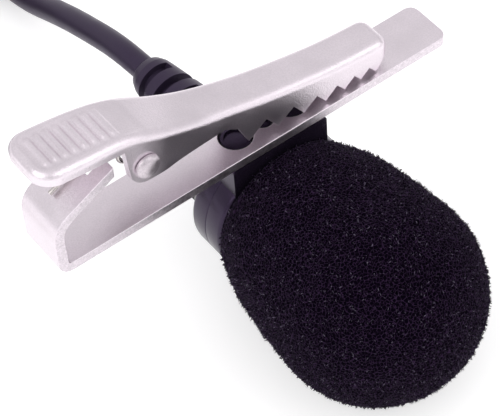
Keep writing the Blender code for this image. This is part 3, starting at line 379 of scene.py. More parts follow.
def finish(name):
    """The finishes of the object, each made on first use."""
    existing = bpy.data.materials.get(name)
    if existing:
        return existing
    clip = bpy.context.scene.clip_settings
    plastic = bpy.context.scene.plastic_settings
    made = {
        "satin_plating": lambda: grained(name, clip.metal, darker(clip.metal, 0.88), (0.29, 0.37), 1.0,
                                         grain=6500.0, blotch=260.0, bump=0.85, relief=0.036 * MM),
        "sheared_edge": lambda: grained(name, darker(clip.metal, 1.02), darker(clip.metal, 0.72),
                                        (0.3, 0.45), 1.0, grain=9000.0, blotch=3600.0, bump=0.55,
                                        relief=0.03 * MM),
        "polished_steel": lambda: grained(name, (0.69, 0.63, 0.67), (0.5, 0.45, 0.49), (0.34, 0.44), 1.0,
                                          grain=7000.0, blotch=1500.0, bump=0.3),
        "spring_wire": lambda: grained(name, (0.72, 0.68, 0.66), (0.5, 0.47, 0.46), (0.18, 0.3), 1.0,
                                       grain=9000.0, blotch=1200.0, bump=0.1),
        "moulded_plastic": lambda: grained(name, plastic.plastic, darker(plastic.plastic, 0.7),
                                           (0.2, 0.28), grain=6000.0, blotch=500.0, bump=0.06,
                                           gloss_tint=plastic.gloss),
        "cord_rubber": lambda: grained(name, plastic.rubber, darker(plastic.rubber, 0.75), (0.36, 0.48),
                                       grain=7000.0, blotch=400.0, bump=0.12, gloss_tint=plastic.gloss),
        "capsule_rubber": lambda: grained(name, (0.03, 0.028, 0.032), (0.02, 0.018, 0.021), (0.5, 0.65),
                                          grain=6000.0, blotch=400.0),
        "anodised_black": lambda: grained(name, (0.035, 0.033, 0.038), (0.02, 0.019, 0.022), (0.3, 0.42),
                                          0.7, grain=12000.0, blotch=400.0, bump=0.15),
        "felt_fibres": lambda: grained(name, (0.07, 0.07, 0.075), (0.025, 0.025, 0.028), (0.9, 1.0),
                                       grain=3500.0, blotch=900.0, bump=0.8, relief=0.08 * MM),
        "brushed_aluminium": lambda: grained(name, (0.78, 0.79, 0.81), (0.62, 0.63, 0.66), (0.28, 0.42),
                                             1.0, grain=9000.0, blotch=700.0, bump=0.2),
        "circuit_board": lambda: grained(name, (0.04, 0.2, 0.09), (0.02, 0.12, 0.05), (0.35, 0.5),
                                         grain=3000.0, blotch=900.0),
        "red_insulation": lambda: grained(name, (0.55, 0.03, 0.03), (0.4, 0.02, 0.02), (0.35, 0.5)),
        "plug_nickel": lambda: grained(name, (0.84, 0.82, 0.78), (0.74, 0.72, 0.68), (0.1, 0.2), 1.0,
                                       grain=9000.0, blotch=800.0, bump=0.06),
    }
    return made[name]()


def foam_finish():
    """Open-cell foam: pale walls over cells darkened by painted shade, and a few walls brightened by a
    painted highlight.
    """
    settings = bpy.context.scene.foam_settings
    material, tree, shader = new_material("open_cell_foam")
    set_inputs(shader, {
        "Roughness": 0.7, "Specular IOR Level": 0.05, "Specular Tint": (0.6, 0.35, 1.0, 1.0),
        "Sheen Weight": 0.05, "Sheen Roughness": 0.35, "Sheen Tint": (0.75, 0.6, 0.95, 1.0)})
    place = add_node(tree, "ShaderNodeTexCoord")
    cells = add_node(tree, "ShaderNodeTexVoronoi", {"Scale": 1.0 / settings.pore},
                     feature="DISTANCE_TO_EDGE")
    wall = add_node(tree, "ShaderNodeMapRange", {"From Max": 0.1, "To Min": 1.0, "To Max": 0.0})
    strut = add_node(tree, "ShaderNodeAttribute", attribute_name="strut")
    # Painted shade: away from the cell edges and the walls, the base colour falls to the dark pore colour.
    lit = add_node(tree, "ShaderNodeMath", operation="MULTIPLY")
    base = add_node(tree, "ShaderNodeMix", {"A": tuple(settings.pore_shade_colour),
                                            "B": tuple(settings.strut_colour)}, data_type="RGBA")
    # Painted highlight: each strut's glint share mixes a paler colour into the base colour.
    painted_glint = add_node(tree, "ShaderNodeAttribute", attribute_name="painted_glint")
    # painted highlight colour for the glinting struts
    bright = add_node(tree, "ShaderNodeMix", {"B": (0.24, 0.21, 0.29, 1.0)}, data_type="RGBA")
    height = add_node(tree, "ShaderNodeBump", {"Strength": 0.9, "Distance": 0.06 * MM})
    join(tree,
         (place, "Object", cells, "Vector"),
         (cells, "Distance", wall, "Value"),
         (wall, "Result", lit, 0),
         (strut, "Fac", lit, 1),
         (lit, 0, base, "Factor"),
         (base, "Result", bright, "A"),
         (painted_glint, "Fac", bright, "Factor"),
         (bright, "Result", shader, "Base Color"),
         (wall, "Result", height, "Height"),
         (height, "Normal", shader, "Normal"))
    return material


# ---------------------------------------------------------------- shapes

def add_piece(bm, name, body, material, smooth_deg=38.0):
    """Makes a finished piece of a bmesh whose place is in its vertices."""
    mesh = bpy.data.meshes.new(name)
    bm.to_mesh(mesh)
    bm.free()
    mesh.materials.append(material)
    mesh.shade_smooth()
    mesh.set_sharp_from_angle(angle=math.radians(smooth_deg))
    piece = bpy.data.objects.new(name, mesh)
    bpy.context.scene.collection.objects.link(piece)
    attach(piece, body)
    return piece


def ease_edges(piece, width, segments=2, angle_deg=40.0):
    """Rounds the piece's sharp edges, as tumbling or moulding leaves them."""
    bevel = piece.modifiers.new("eased_edges", "BEVEL")
    bevel.width = width
    bevel.segments = segments
    bevel.limit_method = "ANGLE"
    bevel.angle_limit = math.radians(angle_deg)
    bevel.harden_normals = True
    return bevel


def weigh_cut_edges(bm):
    """Marks the edges between a sheet's faces and its cut sides, for a bevel by weight."""
    weight = bm.edges.layers.float.new("bevel_weight_edge")
    for edge in bm.edges:
        finishes = {face.material_index for face in edge.link_faces}
        edge[weight] = 1.0 if len(finishes) == 2 else 0.0


def arc(centre, radius, start_deg, end_deg, steps):
    points = []
    for step in range(steps + 1):
        angle = math.radians(start_deg + (end_deg - start_deg) * step / steps)
        points.append((centre[0] + radius * math.cos(angle), centre[1] + radius * math.sin(angle)))
    return points


def eased(corners, closed=True, steps=4):
    """An outline with rounded corners from (across, along, radius) corners."""
    count = len(corners)
    path = []
    for index, (across, along, radius) in enumerate(corners):
        corner = Vector((across, along))
        if radius == 0.0 or (not closed and index in (0, count - 1)):
            path.append(corner)
            continue
        back = (Vector(corners[index - 1][:2]) - corner).normalized()
        ahead = (Vector(corners[(index + 1) % count][:2]) - corner).normalized()
        half = back.angle(ahead) / 2
        centre = corner + (back + ahead).normalized() * radius / math.sin(half)
        start = corner + back * radius / math.tan(half) - centre
        sweep = start.angle_signed(corner + ahead * radius / math.tan(half) - centre)
        path += [centre + Matrix.Rotation(-sweep * step / steps, 2) @ start for step in range(steps + 1)]
    return path


def spun(profile, steps, place, closed=True):
    """A solid of revolution from (radius, height) points, spun about Z and then placed."""
    bm = bmesh.new()
    verts = [bm.verts.new((radius, 0.0, height)) for radius, height in profile]
    for first, second in zip(verts, verts[1:]):
        bm.edges.new((first, second))
    if closed:
        bm.edges.new((verts[-1], verts[0]))
    bmesh.ops.spin(bm, geom=bm.verts[:] + bm.edges[:], cent=(0.0, 0.0, 0.0), axis=(0.0, 0.0, 1.0),
                   dvec=(0.0, 0.0, 0.0), angle=2 * math.pi, steps=steps, use_merge=True,
                   use_duplicate=False)
    bmesh.ops.remove_doubles(bm, verts=bm.verts, dist=1e-6)
    bmesh.ops.recalc_face_normals(bm, faces=bm.faces)
    bmesh.ops.transform(bm, matrix=place, verts=bm.verts)
    return bm


def slab(outline, start, end, place=None, upright=False):
    """A flat outline given a thickness: across Z, or across Y where it stands upright."""
    bm = bmesh.new()
    if upright:
        verts = [bm.verts.new((x, start, z)) for x, z in outline]
        step = Vector((0.0, end - start, 0.0))
    else:
        verts = [bm.verts.new((x, y, start)) for x, y in outline]
        step = Vector((0.0, 0.0, end - start))
    face = bm.faces.new(verts)
    grown = bmesh.ops.extrude_face_region(bm, geom=[face])
    bmesh.ops.translate(bm, vec=step, verts=[v for v in grown["geom"] if isinstance(v, bmesh.types.BMVert)])
    bmesh.ops.recalc_face_normals(bm, faces=bm.faces)
    if place:
        bmesh.ops.transform(bm, matrix=place, verts=bm.verts)
    return bm


def rod(radius, start, end, segments=48):
    """A round bar between two points."""
    start, end = Vector(start), Vector(end)
    turn = (end - start).to_track_quat("Z", "Y").to_matrix().to_4x4()
    bm = bmesh.new()
    bmesh.ops.create_cone(bm, cap_ends=True, segments=segments, radius1=radius, radius2=radius,
                          depth=(end - start).length, matrix=Matrix.Translation((start + end) / 2) @ turn)
    return bm


def scratch_object(bm, name="scratch"):
    mesh = bpy.data.meshes.new(name)
    bm.to_mesh(mesh)
    bm.free()
    obj = bpy.data.objects.new(name, mesh)
    bpy.context.scene.collection.objects.link(obj)
    return obj


def baked(obj):
    """The object's mesh with its modifiers applied, as a bmesh, and the object removed."""
    bpy.context.view_layer.update()
    graph = bpy.context.evaluated_depsgraph_get()
    mesh = bpy.data.meshes.new_from_object(obj.evaluated_get(graph))
    bm = bmesh.new()
    bm.from_mesh(mesh)
    bpy.data.objects.remove(obj, do_unlink=True)
    bpy.data.meshes.remove(mesh)
    return bm


def carved(bm, *tools):
    """The bmesh after each (operation, tool) is carried out on it."""
    target = scratch_object(bm)
    helpers = []
    for operation, tool in tools:
        helper = scratch_object(tool, "scratch_tool")
        helpers.append(helper)
        modifier = target.modifiers.new("carve", "BOOLEAN")
        modifier.operation = operation
        modifier.object = helper
    result = baked(target)
    for helper in helpers:
        bpy.data.objects.remove(helper, do_unlink=True)
    bmesh.ops.remove_doubles(result, verts=result.verts, dist=1e-7)
    return result


def frame_copy(node):
    """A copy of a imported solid, merged and freed of the lines across its flat faces."""
    bm = bmesh.new()
    bm.from_mesh(frame["nodes"][node].data)
    bmesh.ops.remove_doubles(bm, verts=bm.verts, dist=1e-6)
    bmesh.ops.dissolve_limit(bm, angle_limit=math.radians(0.4), verts=bm.verts, edges=bm.edges,
                             delimit=set())
    return bm


def smoothstep(low, high, value):
    """Rises from 0 to 1 between two values, and is level outside them."""
    t = min(1.0, max(0.0, (value - low) / (high - low)))
    return t * t * (3 - 2 * t)


def smooth_curve(points, spacing):
    """Points at about an even spacing on a smooth curve through the given points."""
    ends = [points[0] * 2 - points[1], *points, points[-1] * 2 - points[-2]]
    path = []
    for before, start, end, after in zip(ends, ends[1:], ends[2:], ends[3:]):
        steps = max(1, round((end - start).length / spacing))
        for step in range(steps):
            t = step / steps
            pull = (end - before) * t + (before * 2 - start * 5 + end * 4 - after) * t ** 2
            push = (start * 3 - before - end * 3 + after) * t ** 3
            path.append(start + (pull + push) / 2)
    path.append(points[-1])
    return path


def station_value(stations, position):
    """A smooth curve through (position, value) stations in millimetres, read at a position."""
    position = position / MM
    count = len(stations)
    index = 0
    while index < count - 2 and position > stations[index + 1][0]:
        index += 1
    low, high = stations[index], stations[index + 1]
    before = stations[max(index - 1, 0)]
    after = stations[min(index + 2, count - 1)]
    width = high[0] - low[0]
    slope_low = (high[1] - before[1]) / (high[0] - before[0])
    slope_high = (after[1] - low[1]) / (after[0] - low[0])
    t = (position - low[0]) / width
    value = (low[1] * (2 * t ** 3 - 3 * t ** 2 + 1) + high[1] * (3 * t ** 2 - 2 * t ** 3)
             + slope_low * width * (t ** 3 - 2 * t ** 2 + t)
             + slope_high * width * (t ** 3 - t ** 2))
    return value * MM


def wire(name, points, radius, body, material, bevel_resolution=6):
    """A round cord or wire with closed ends along a list of points."""
    curve = bpy.data.curves.new(name, "CURVE")
    curve.dimensions = "3D"
    curve.bevel_depth = radius
    curve.bevel_resolution = bevel_resolution
    curve.use_fill_caps = True
    spline = curve.splines.new("POLY")
    spline.points.add(len(points) - 1)
    for point, position in zip(spline.points, points):
        point.co = (*position, 1.0)
    spline.use_smooth = True
    curve.materials.append(material)
    piece = bpy.data.objects.new(name, curve)
    bpy.context.scene.collection.objects.link(piece)
    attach(piece, body)
    return piece


def dress(node, material):
    """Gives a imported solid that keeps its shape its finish."""
    slots = frame["nodes"][node].data.materials
    slots.clear()
    slots.append(material)


# ---------------------------------------------------------------- stage

def paper_finish(name, colour, glow):
    """A pale floor that keeps shadows and is seen, and mirrored, a little brighter than lit."""
    material, tree, shader = new_material(name)
    set_inputs(shader, {"Base Color": colour, "Roughness": 0.9, "Specular IOR Level": 0.0,
                        "Emission Color": (1.0, 1.0, 1.0, 1.0)})
    rays = add_node(tree, "ShaderNodeLightPath")
    seen = add_node(tree, "ShaderNodeMath", operation="MAXIMUM")
    mirrored = add_node(tree, "ShaderNodeMath", operation="MAXIMUM")
    strength = add_node(tree, "ShaderNodeMath", {1: glow}, operation="MULTIPLY")
    join(tree,
         (rays, "Is Camera Ray", seen, 0),
         (rays, "Is Glossy Ray", seen, 1),
         (seen, 0, mirrored, 0),
         (rays, "Is Transmission Ray", mirrored, 1),
         (mirrored, 0, strength, 0),
         (strength, 0, shader, "Emission Strength"))
    return material


def soft_box(name, place, target, size, power):
    light = bpy.data.lights.new(name, "AREA")
    light.shape = "RECTANGLE"
    light.size = size[0]
    light.size_y = size[1]
    light.energy = power
    lamp = bpy.data.objects.new(name, light)
    bpy.context.scene.collection.objects.link(lamp)
    lamp.location = place
    lamp.rotation_euler = (Vector(target) - Vector(place)).to_track_quat("-Z", "Y").to_euler()
    return lamp


class MICROPHONE_OT_stage(bpy.types.Operator):
    """Sets the camera, the floor and the soft studio light"""
    bl_idname = "microphone.stage"
    bl_label = "Stage"

    def execute(self, context):
        settings = context.scene.stage_settings
        camera_data = bpy.data.cameras.new("camera")
        camera_data.lens = settings.lens
        camera_data.sensor_width = 36.0
        camera_data.clip_start = 0.01
        camera = bpy.data.objects.new("camera", camera_data)
        context.scene.collection.objects.link(camera)
        turn = math.radians(CAMERA_TURN_DEG)
        tilt = math.radians(CAMERA_TILT_DEG)
        roll = math.radians(CAMERA_ROLL_DEG)
        back = Vector((math.sin(turn) * math.cos(tilt), -math.cos(turn) * math.cos(tilt), math.sin(tilt)))
        level = Vector((math.cos(turn), math.sin(turn), 0.0))
        upward = back.cross(level)
        right = level * math.cos(roll) + upward * math.sin(roll)
        top = upward * math.cos(roll) - level * math.sin(roll)
        camera.matrix_world = Matrix.Translation(CAMERA_PLACE) @ Matrix(
            (right, top, back)).transposed().to_4x4()
        context.scene.camera = camera

        bm = bmesh.new()
        bmesh.ops.create_grid(bm, x_segments=2, y_segments=2, size=3.0)
        mesh = bpy.data.meshes.new("floor")
        bm.to_mesh(mesh)
        bm.free()
        mesh.materials.append(paper_finish("floor_paper", settings.floor, FLOOR_GLOW))
        floor = bpy.data.objects.new("floor", mesh)
        context.scene.collection.objects.link(floor)

        world = bpy.data.worlds.new("studio")
        world.use_nodes = True
        tree = world.node_tree
        sky = tree.nodes["Background"]
        set_inputs(sky, {"Color": (1.0, 0.99, 1.0, 1.0)})
        direction = add_node(tree, "ShaderNodeTexCoord")
        split = add_node(tree, "ShaderNodeSeparateXYZ")
        ramp = add_node(tree, "ShaderNodeMapRange", {"To Min": settings.sky * 0.9,
                                                     "To Max": settings.sky * 1.1})
        join(tree,
             (direction, "Generated", split, 0),
             (split, "Z", ramp, "Value"),
             (ramp, "Result", sky, "Strength"))
        context.scene.world = world
        for name, place, size, power in LIGHTS:
            soft_box(name, place, LIGHT_TARGET, size, power)
        context.scene.view_settings.view_transform = "Standard"
        return {"FINISHED"}


# ---------------------------------------------------------------- cord and plug

def coil_points(points_per_turn=40):
    """Two layers of turns that spiral in, climb and spiral out again."""
    outer = COIL_MEAN_RADIUS + COIL_TURN_PITCH * COIL_LAYER_TURNS / 2
    centre = COIL_START + Vector((-outer, 0.0, 0.0))
    total = 2 * COIL_LAYER_TURNS
    climb_start = COIL_LAYER_TURNS - COIL_CLIMB_TURNS / 2
    steps = round(total * points_per_turn)
    points = []
    for step in range(steps + 1):
        turn = total * step / steps
        radius = outer - COIL_TURN_PITCH * (COIL_LAYER_TURNS - abs(turn - COIL_LAYER_TURNS))
        height = COIL_TURN_PITCH * smoothstep(climb_start, climb_start + COIL_CLIMB_TURNS, turn)
        angle = 2 * math.pi * turn
        points.append(centre + Vector((radius * math.cos(angle), radius * math.sin(angle), height)))
    return points


def cord_points():
    """The whole cord's centreline, from the bend relief to the plug."""
    coil = coil_points()
    diameter = 2 * CORD_RADIUS
    lead_in = coil[0] + Vector((0.0, -diameter, 0.0))
    lead_out = coil[-1] + Vector((0.0, -diameter, 0.0))
    route = [CORD_EXIT] + [Vector(point) * MM for point in CORD_ROUTE] + [lead_in]
    return smooth_curve(route, 2.0 * MM) + coil + [lead_out]


def plug_forms():
    """The plug's pieces as (name, replaced node, profile, finish, slot), heights from the cord's end."""
    length = span_ahead(PLUG_START, "plug_tail")[1]
    grip_start, grip_end = span_ahead(PLUG_START, "plug_grip")
    grip = half_height("plug_grip")
    waist = grip * 0.93
    tail_profile = [(0.0, length, 0.0), (3.1 * MM, length, 0.25 * MM)]
    for index in range(TAIL_RIB_COUNT):
        height = length * (0.84 - 0.2 * index)
        radius = TAIL_RADIUS - TAIL_RIB_TAPER * index
        tail_profile += [(radius, height + 0.55 * MM, 0.12 * MM),
                         (radius - 0.7 * MM, height + 0.5 * MM, 0.1 * MM),
                         (radius - 0.75 * MM, height - 0.5 * MM, 0.1 * MM),
                         (radius - 0.12 * MM, height - 0.55 * MM, 0.12 * MM)]
    tail_profile += [(2.0 * MM, 0.0, 0.2 * MM), (0.0, 0.0, 0.0)]
    grip_profile = [(0.0, grip_end, 0.0), (grip * 0.8, grip_end, 0.3 * MM),
                    (grip, grip_end - 0.9 * MM, 0.5 * MM)]
    for index in range(GRIP_RIB_COUNT):
        height = grip_end - 3.0 * MM - index * GRIP_RIB_PITCH
        grip_profile += [(grip, height + 0.3 * MM, 0.1 * MM), (waist, height + 0.2 * MM, 0.1 * MM),
                         (waist, height - 0.2 * MM, 0.1 * MM), (grip, height - 0.3 * MM, 0.1 * MM)]
    grip_profile += [(grip, grip_start + 0.6 * MM, 0.4 * MM), (grip * 0.85, grip_start, 0.3 * MM),
                     (0.0, grip_start, 0.0)]
    sleeve_low, sleeve_high = span_ahead(PLUG_START, "plug_sleeve")
    collar = half_height("plug_sleeve")
    shaft = half_height("plug_ring")
    collar_end = sleeve_low + PLUG_COLLAR_LENGTH
    sleeve_profile = [(0.0, sleeve_high, 0.0), (shaft, sleeve_high, 0.08 * MM),
                      (shaft, collar_end, 0.1 * MM), (collar, collar_end, 0.2 * MM),
                      (collar, sleeve_low, 0.2 * MM), (0.0, sleeve_low, 0.0)]
    bore = PLUG_ROD_RADIUS + FIT_GAP
    tip_end = span_ahead(PLUG_START, "plug_tip")[1]
    tip_start = tip_end - PLUG_TIP_LENGTH
    tip_profile = [(0.0, tip_end, 0.0), (shaft * 0.5, tip_end - 0.15 * MM, 0.35 * MM),
                   (shaft, tip_end - shaft, 0.4 * MM), (shaft * 0.62, tip_start + shaft * 0.75, 0.3 * MM),
                   (shaft, tip_start + shaft * 0.3, 0.1 * MM), (shaft, tip_start, 0.05 * MM),
                   (PLUG_ROD_RADIUS, tip_start, 0.0), (PLUG_ROD_RADIUS, sleeve_high + SEAT_GAP, 0.0),
                   (0.0, sleeve_high + SEAT_GAP, 0.0)]
    forms = [("plug_tail_moulding", "plug_tail", tail_profile, "cord_rubber", "black_rubber"),
             ("plug_grip_moulding", "plug_grip", grip_profile, "moulded_plastic", "black_plastic"),
             ("plug_sleeve_contact", "plug_sleeve", sleeve_profile, "plug_nickel", "nickel_contact"),
             ("plug_tip_contact", "plug_tip", tip_profile, "plug_nickel", "nickel_contact")]
    for name, node, material, slot in (
            ("plug_rear_band", "plug_band_rear", "moulded_plastic", "black_plastic"),
            ("plug_ring_contact", "plug_ring", "plug_nickel", "nickel_contact"),
            ("plug_front_band", "plug_band_front", "moulded_plastic", "black_plastic")):
        low, high = span_ahead(PLUG_START, node)
        band = [(bore, high, 0.0), (shaft, high, 0.08 * MM), (shaft, low, 0.08 * MM), (bore, low, 0.0)]
        forms.append((name, node, band, material, slot))
    return forms


class MICROPHONE_OT_cord(bpy.types.Operator):
    """Lays the cord, winds its coil and adds the plug at its end"""
    bl_idname = "microphone.cord"
    bl_label = "Cord and plug"

    def execute(self, context):
        for name, node, profile, material, slot in plug_forms():
            closed = profile[0][0] > 0.0
            bm = spun(eased(profile, closed), 64, PLUG, closed)
            piece = add_piece(bm, name, "microphone", finish(material))
            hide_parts(node)
        points = cord_points()
        cord = wire("cord", points, CORD_RADIUS, "microphone", finish("cord_rubber"), 8)
        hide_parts("cord_lead", "cord_coil")
        return {"FINISHED"}


# ---------------------------------------------------------------- foam

def foam_line():
    """The foam's profile from its front pole to the bore's blind end, as (reach, radius, height)."""
    radius = (high_corner("windscreen").x - low_corner("windscreen").x) / 2
    mouth, front = span_ahead(MIC_CENTRE, "windscreen")
    dome = front - radius
    bore = high_corner("body_tube").z - MIC_CENTRE.z + FIT_GAP
    blind_end = span_ahead(MIC_CENTRE, "front_grille")[1] + SEAT_GAP
    line = []
    for step in range(1, 91):
        angle = math.radians(step)
        height = dome + radius * math.cos(angle)
        line.append((math.log(math.tan(angle / 2)), radius * math.sin(angle), height))
    flank = eased([(radius, dome, 0.0), (radius * 0.96, dome * 0.62, 9 * MM),
                   (radius * 0.9, dome * 0.3, 12 * MM), (FOAM_MOUTH_RADIUS, mouth, 0.5 * MM),
                   (bore, mouth, 0.3 * MM), (bore, blind_end, 0.4 * MM),
                   (0.05 * MM, blind_end, 0.0)], closed=False, steps=8)
    reach, last = line[-1][0], Vector((line[-1][1], line[-1][2]))
    for point in flank:
        steps = max(1, math.ceil((point - last).length / (0.3 * MM)))
        for step in range(1, steps + 1):
            place = last.lerp(point, step / steps)
            reach += (point - last).length / steps / place.x
            line.append((reach, place.x, place.y))
        last = point
    return line


def along_line(line, reaches, polar):
    """Radius and height of the profile at an angle from the front pole of a unit ball."""
    reach = math.log(math.tan(min(max(polar, POLE_ANGLE), math.pi - POLE_ANGLE) / 2))
    index = min(max(bisect_right(reaches, reach), 1), len(line) - 1)
    low, high = line[index - 1], line[index]
    share = (reach - low[0]) / (high[0] - low[0])
    share = min(max(share, 0.0), 1.0)
    return low[1] + (high[1] - low[1]) * share, low[2] + (high[2] - low[2]) * share


def foam_body():
    """A ball of fine faces drawn out to the windscreen's form, bore included."""
    line = foam_line()
    reaches = [entry[0] for entry in line]
    bm = bmesh.new()
    bmesh.ops.create_icosphere(bm, subdivisions=8, radius=1.0)
    for vert in bm.verts:
        polar = math.acos(min(max(vert.co.z, -1.0), 1.0))
        radius, height = along_line(line, reaches, polar)
        around = math.hypot(vert.co.x, vert.co.y) or 1.0
        if polar < POLE_ANGLE or polar > math.pi - POLE_ANGLE:
            radius = 0.0
        vert.co = (vert.co.x / around * radius, vert.co.y / around * radius, height)
    bmesh.ops.transform(bm, matrix=MIC, verts=bm.verts)
    bm.normal_update()
    return bm


def roughen(bm, settings):
    """Sinks the cells below their walls and notes how much of a wall each vertex is."""
    strut = bm.verts.layers.float.new("strut")
    shifts = []
    for vert in bm.verts:
        distances, _ = noise.voronoi(vert.co / settings.pore)
        wall = 1.0 - min(1.0, (distances[1] - distances[0]) / CELL_WALL_SPAN)
        lump = noise.noise(vert.co / LUMP_SIZE) * LUMP_HEIGHT
        speck = noise.noise(vert.co / SPECK_SIZE) * SPECK_HEIGHT
        # Painted shade: low values mix the near-black pore colour into the sunken cells.
        vert[strut] = 0.12 + 0.88 * wall ** 1.5
        shifts.append(vert.normal * (settings.depth * (wall - 0.6) + lump + speck))
    for vert, shift in zip(bm.verts, shifts):
        vert.co += shift


def raise_struts(bm, settings):
    """Draws loose struts out of scattered faces of the outer surface."""
    chance = random.Random(7)
    painted_glint = bm.verts.layers.float.new("painted_glint")
    strut = bm.verts.layers.float["strut"]
    chosen = []
    for face in bm.faces:
        middle = face.verts[0].co - MIC_CENTRE
        if middle.x ** 2 + middle.z ** 2 < FOAM_BARE_RADIUS ** 2 and middle.y > FOAM_BARE_FROM:
            continue
        if chance.random() < settings.strut_share:
            chosen.append(face)
    tips = bmesh.ops.extrude_discrete_faces(bm, faces=chosen)["faces"]
    for face in tips:
        lean = Vector((chance.uniform(-1, 1), chance.uniform(-1, 1), chance.uniform(-1, 1)))
        reach = settings.strut_length * chance.uniform(0.25, 1.0)
        shift = (face.normal + lean * 0.75).normalized() * reach
        middle = face.calc_center_median()
        # Painted highlight: about half the loose struts get a random share of a paler base colour.
        shine = chance.random() ** 3 if chance.random() < 0.5 else 0.0
        for vert in face.verts:
            vert.co = middle + (vert.co - middle) * 0.45 + shift
            vert[strut] = 1.0
            vert[painted_glint] = shine


class MICROPHONE_OT_foam(bpy.types.Operator):
    """Makes the open-cell foam windscreen"""
    bl_idname = "microphone.foam"
    bl_label = "Foam windscreen"

    def execute(self, context):
        settings = context.scene.foam_settings
        bm = foam_body()
        roughen(bm, settings)
        raise_struts(bm, settings)
        piece = add_piece(bm, "foam_windscreen", "foam", foam_finish(), 180.0)
        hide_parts("windscreen")
        return {"FINISHED"}


# ---------------------------------------------------------------- clip

def crest(x):
    """Height of the upper jaw's back over the strip."""
    return station_value(JAW_CREST, x)


def jaw_half_width(x):
    return station_value(JAW_SPAN, x) / 2


def lower_edge():
    """The pressed sheet's lower edge from the cheek to the nose, as (x, height) points."""
    rim = crest(CHEEK_REAR) - PAD_RIM
    cheek = eased([(CHEEK_REAR, rim, 0.0), (CHEEK_REAR, CHEEK_BOTTOM_REAR, CHEEK_CORNER_RADIUS),
                   (CHEEK_FRONT, CHEEK_BOTTOM_FRONT, 0.0)], closed=False, steps=10)
    points = [tuple(point) for point in cheek]
    points[0] = (CHEEK_REAR - 0.24 * MM, rim)
    teeth = tooth_line()
    points.append((TOOTH_FIRST - 1.1 * MM, CHEEK_BOTTOM_FRONT - MM))
    return points + teeth + [(teeth[-1][0] + 0.3 * MM, SEAT_GAP), (JAW_FRONT - 0.2 * MM, NOSE_LIP_HEIGHT),
                             (JAW_FRONT, NOSE_LIP_HEIGHT)]


def trimmed_height(x, edge):
    """Height of the sheet's lower edge at a distance from the heel."""
    if x <= edge[0][0]:
        return crest(x) - PAD_RIM
    index = min(bisect_right([point[0] for point in edge], x), len(edge) - 1)
    low, high = edge[index - 1], edge[index]
    return low[1] + (high[1] - low[1]) * (x - low[0]) / (high[0] - low[0])


def jaw_stations(edge):
    """Places along the jaw where its sheet is divided: fine on the pad, and at each corner of its edge."""
    corners = [x for x, _ in edge]
    even = [JAW_REAR + PAD_STEP * step for step in range(1, int((PAD_END - JAW_REAR) / PAD_STEP))]
    even += [PAD_END + JAW_STEP * step for step in range(int((JAW_FRONT - PAD_END) / JAW_STEP))]
    free = [x for x in even if all(abs(x - corner) > 0.05 * MM for corner in corners)]
    return sorted(free + corners)


def jaw_plan(stations):
    """Plan outline of the pressed sheet."""
    half = jaw_half_width(0.0)
    corner_x = JAW_REAR + JAW_CORNER_RADIUS
    corner_y = half - JAW_CORNER_RADIUS
    nose_x = JAW_FRONT - JAW_NOSE_CORNER_RADIUS
    nose_y = jaw_half_width(nose_x) - JAW_NOSE_CORNER_RADIUS
    near = [(x, -jaw_half_width(x)) for x in stations if corner_x + 0.05 * MM < x < nose_x - 0.05 * MM]
    near += arc((nose_x, -nose_y), JAW_NOSE_CORNER_RADIUS, -90.0, 0.0, 10)
    far = [(x, -y) for x, y in reversed(near)]
    rear = arc((corner_x, corner_y), JAW_CORNER_RADIUS, 90.0, 180.0, 14)
    rear += arc((corner_x, -corner_y), JAW_CORNER_RADIUS, 180.0, 270.0, 14)
    return near + far + rear


def pad_relief(x, y, settings):
    """Height of the pressed panel and its ribs at a place on the pad, y from the middle line."""
    middle = (PANEL_START + PANEL_END) / 2
    out_x = max(0.0, abs(x - middle) - ((PANEL_END - PANEL_START) / 2 - PANEL_CORNER))
    out_y = max(0.0, abs(y) - (PANEL_HALF - PANEL_CORNER))
    inside = PANEL_CORNER - math.hypot(out_x, out_y)
    height = -settings.panel_depth * smoothstep(-0.4 * MM, 0.5 * MM, inside)
    last = RIB_FIRST + (settings.rib_count - 1) * RIB_PITCH
    within = RIB_FIRST - RIB_PITCH / 2 < x < last + RIB_PITCH / 2
    wave = smoothstep(0.05, 0.8, 0.5 + 0.5 * math.cos(2 * math.pi * (x - RIB_FIRST) / RIB_PITCH))
    ends = 1.0 - smoothstep(RIB_HALF - 0.55 * MM, RIB_HALF + 0.15 * MM, abs(y))
    return height + settings.rib_height * within * ends * wave


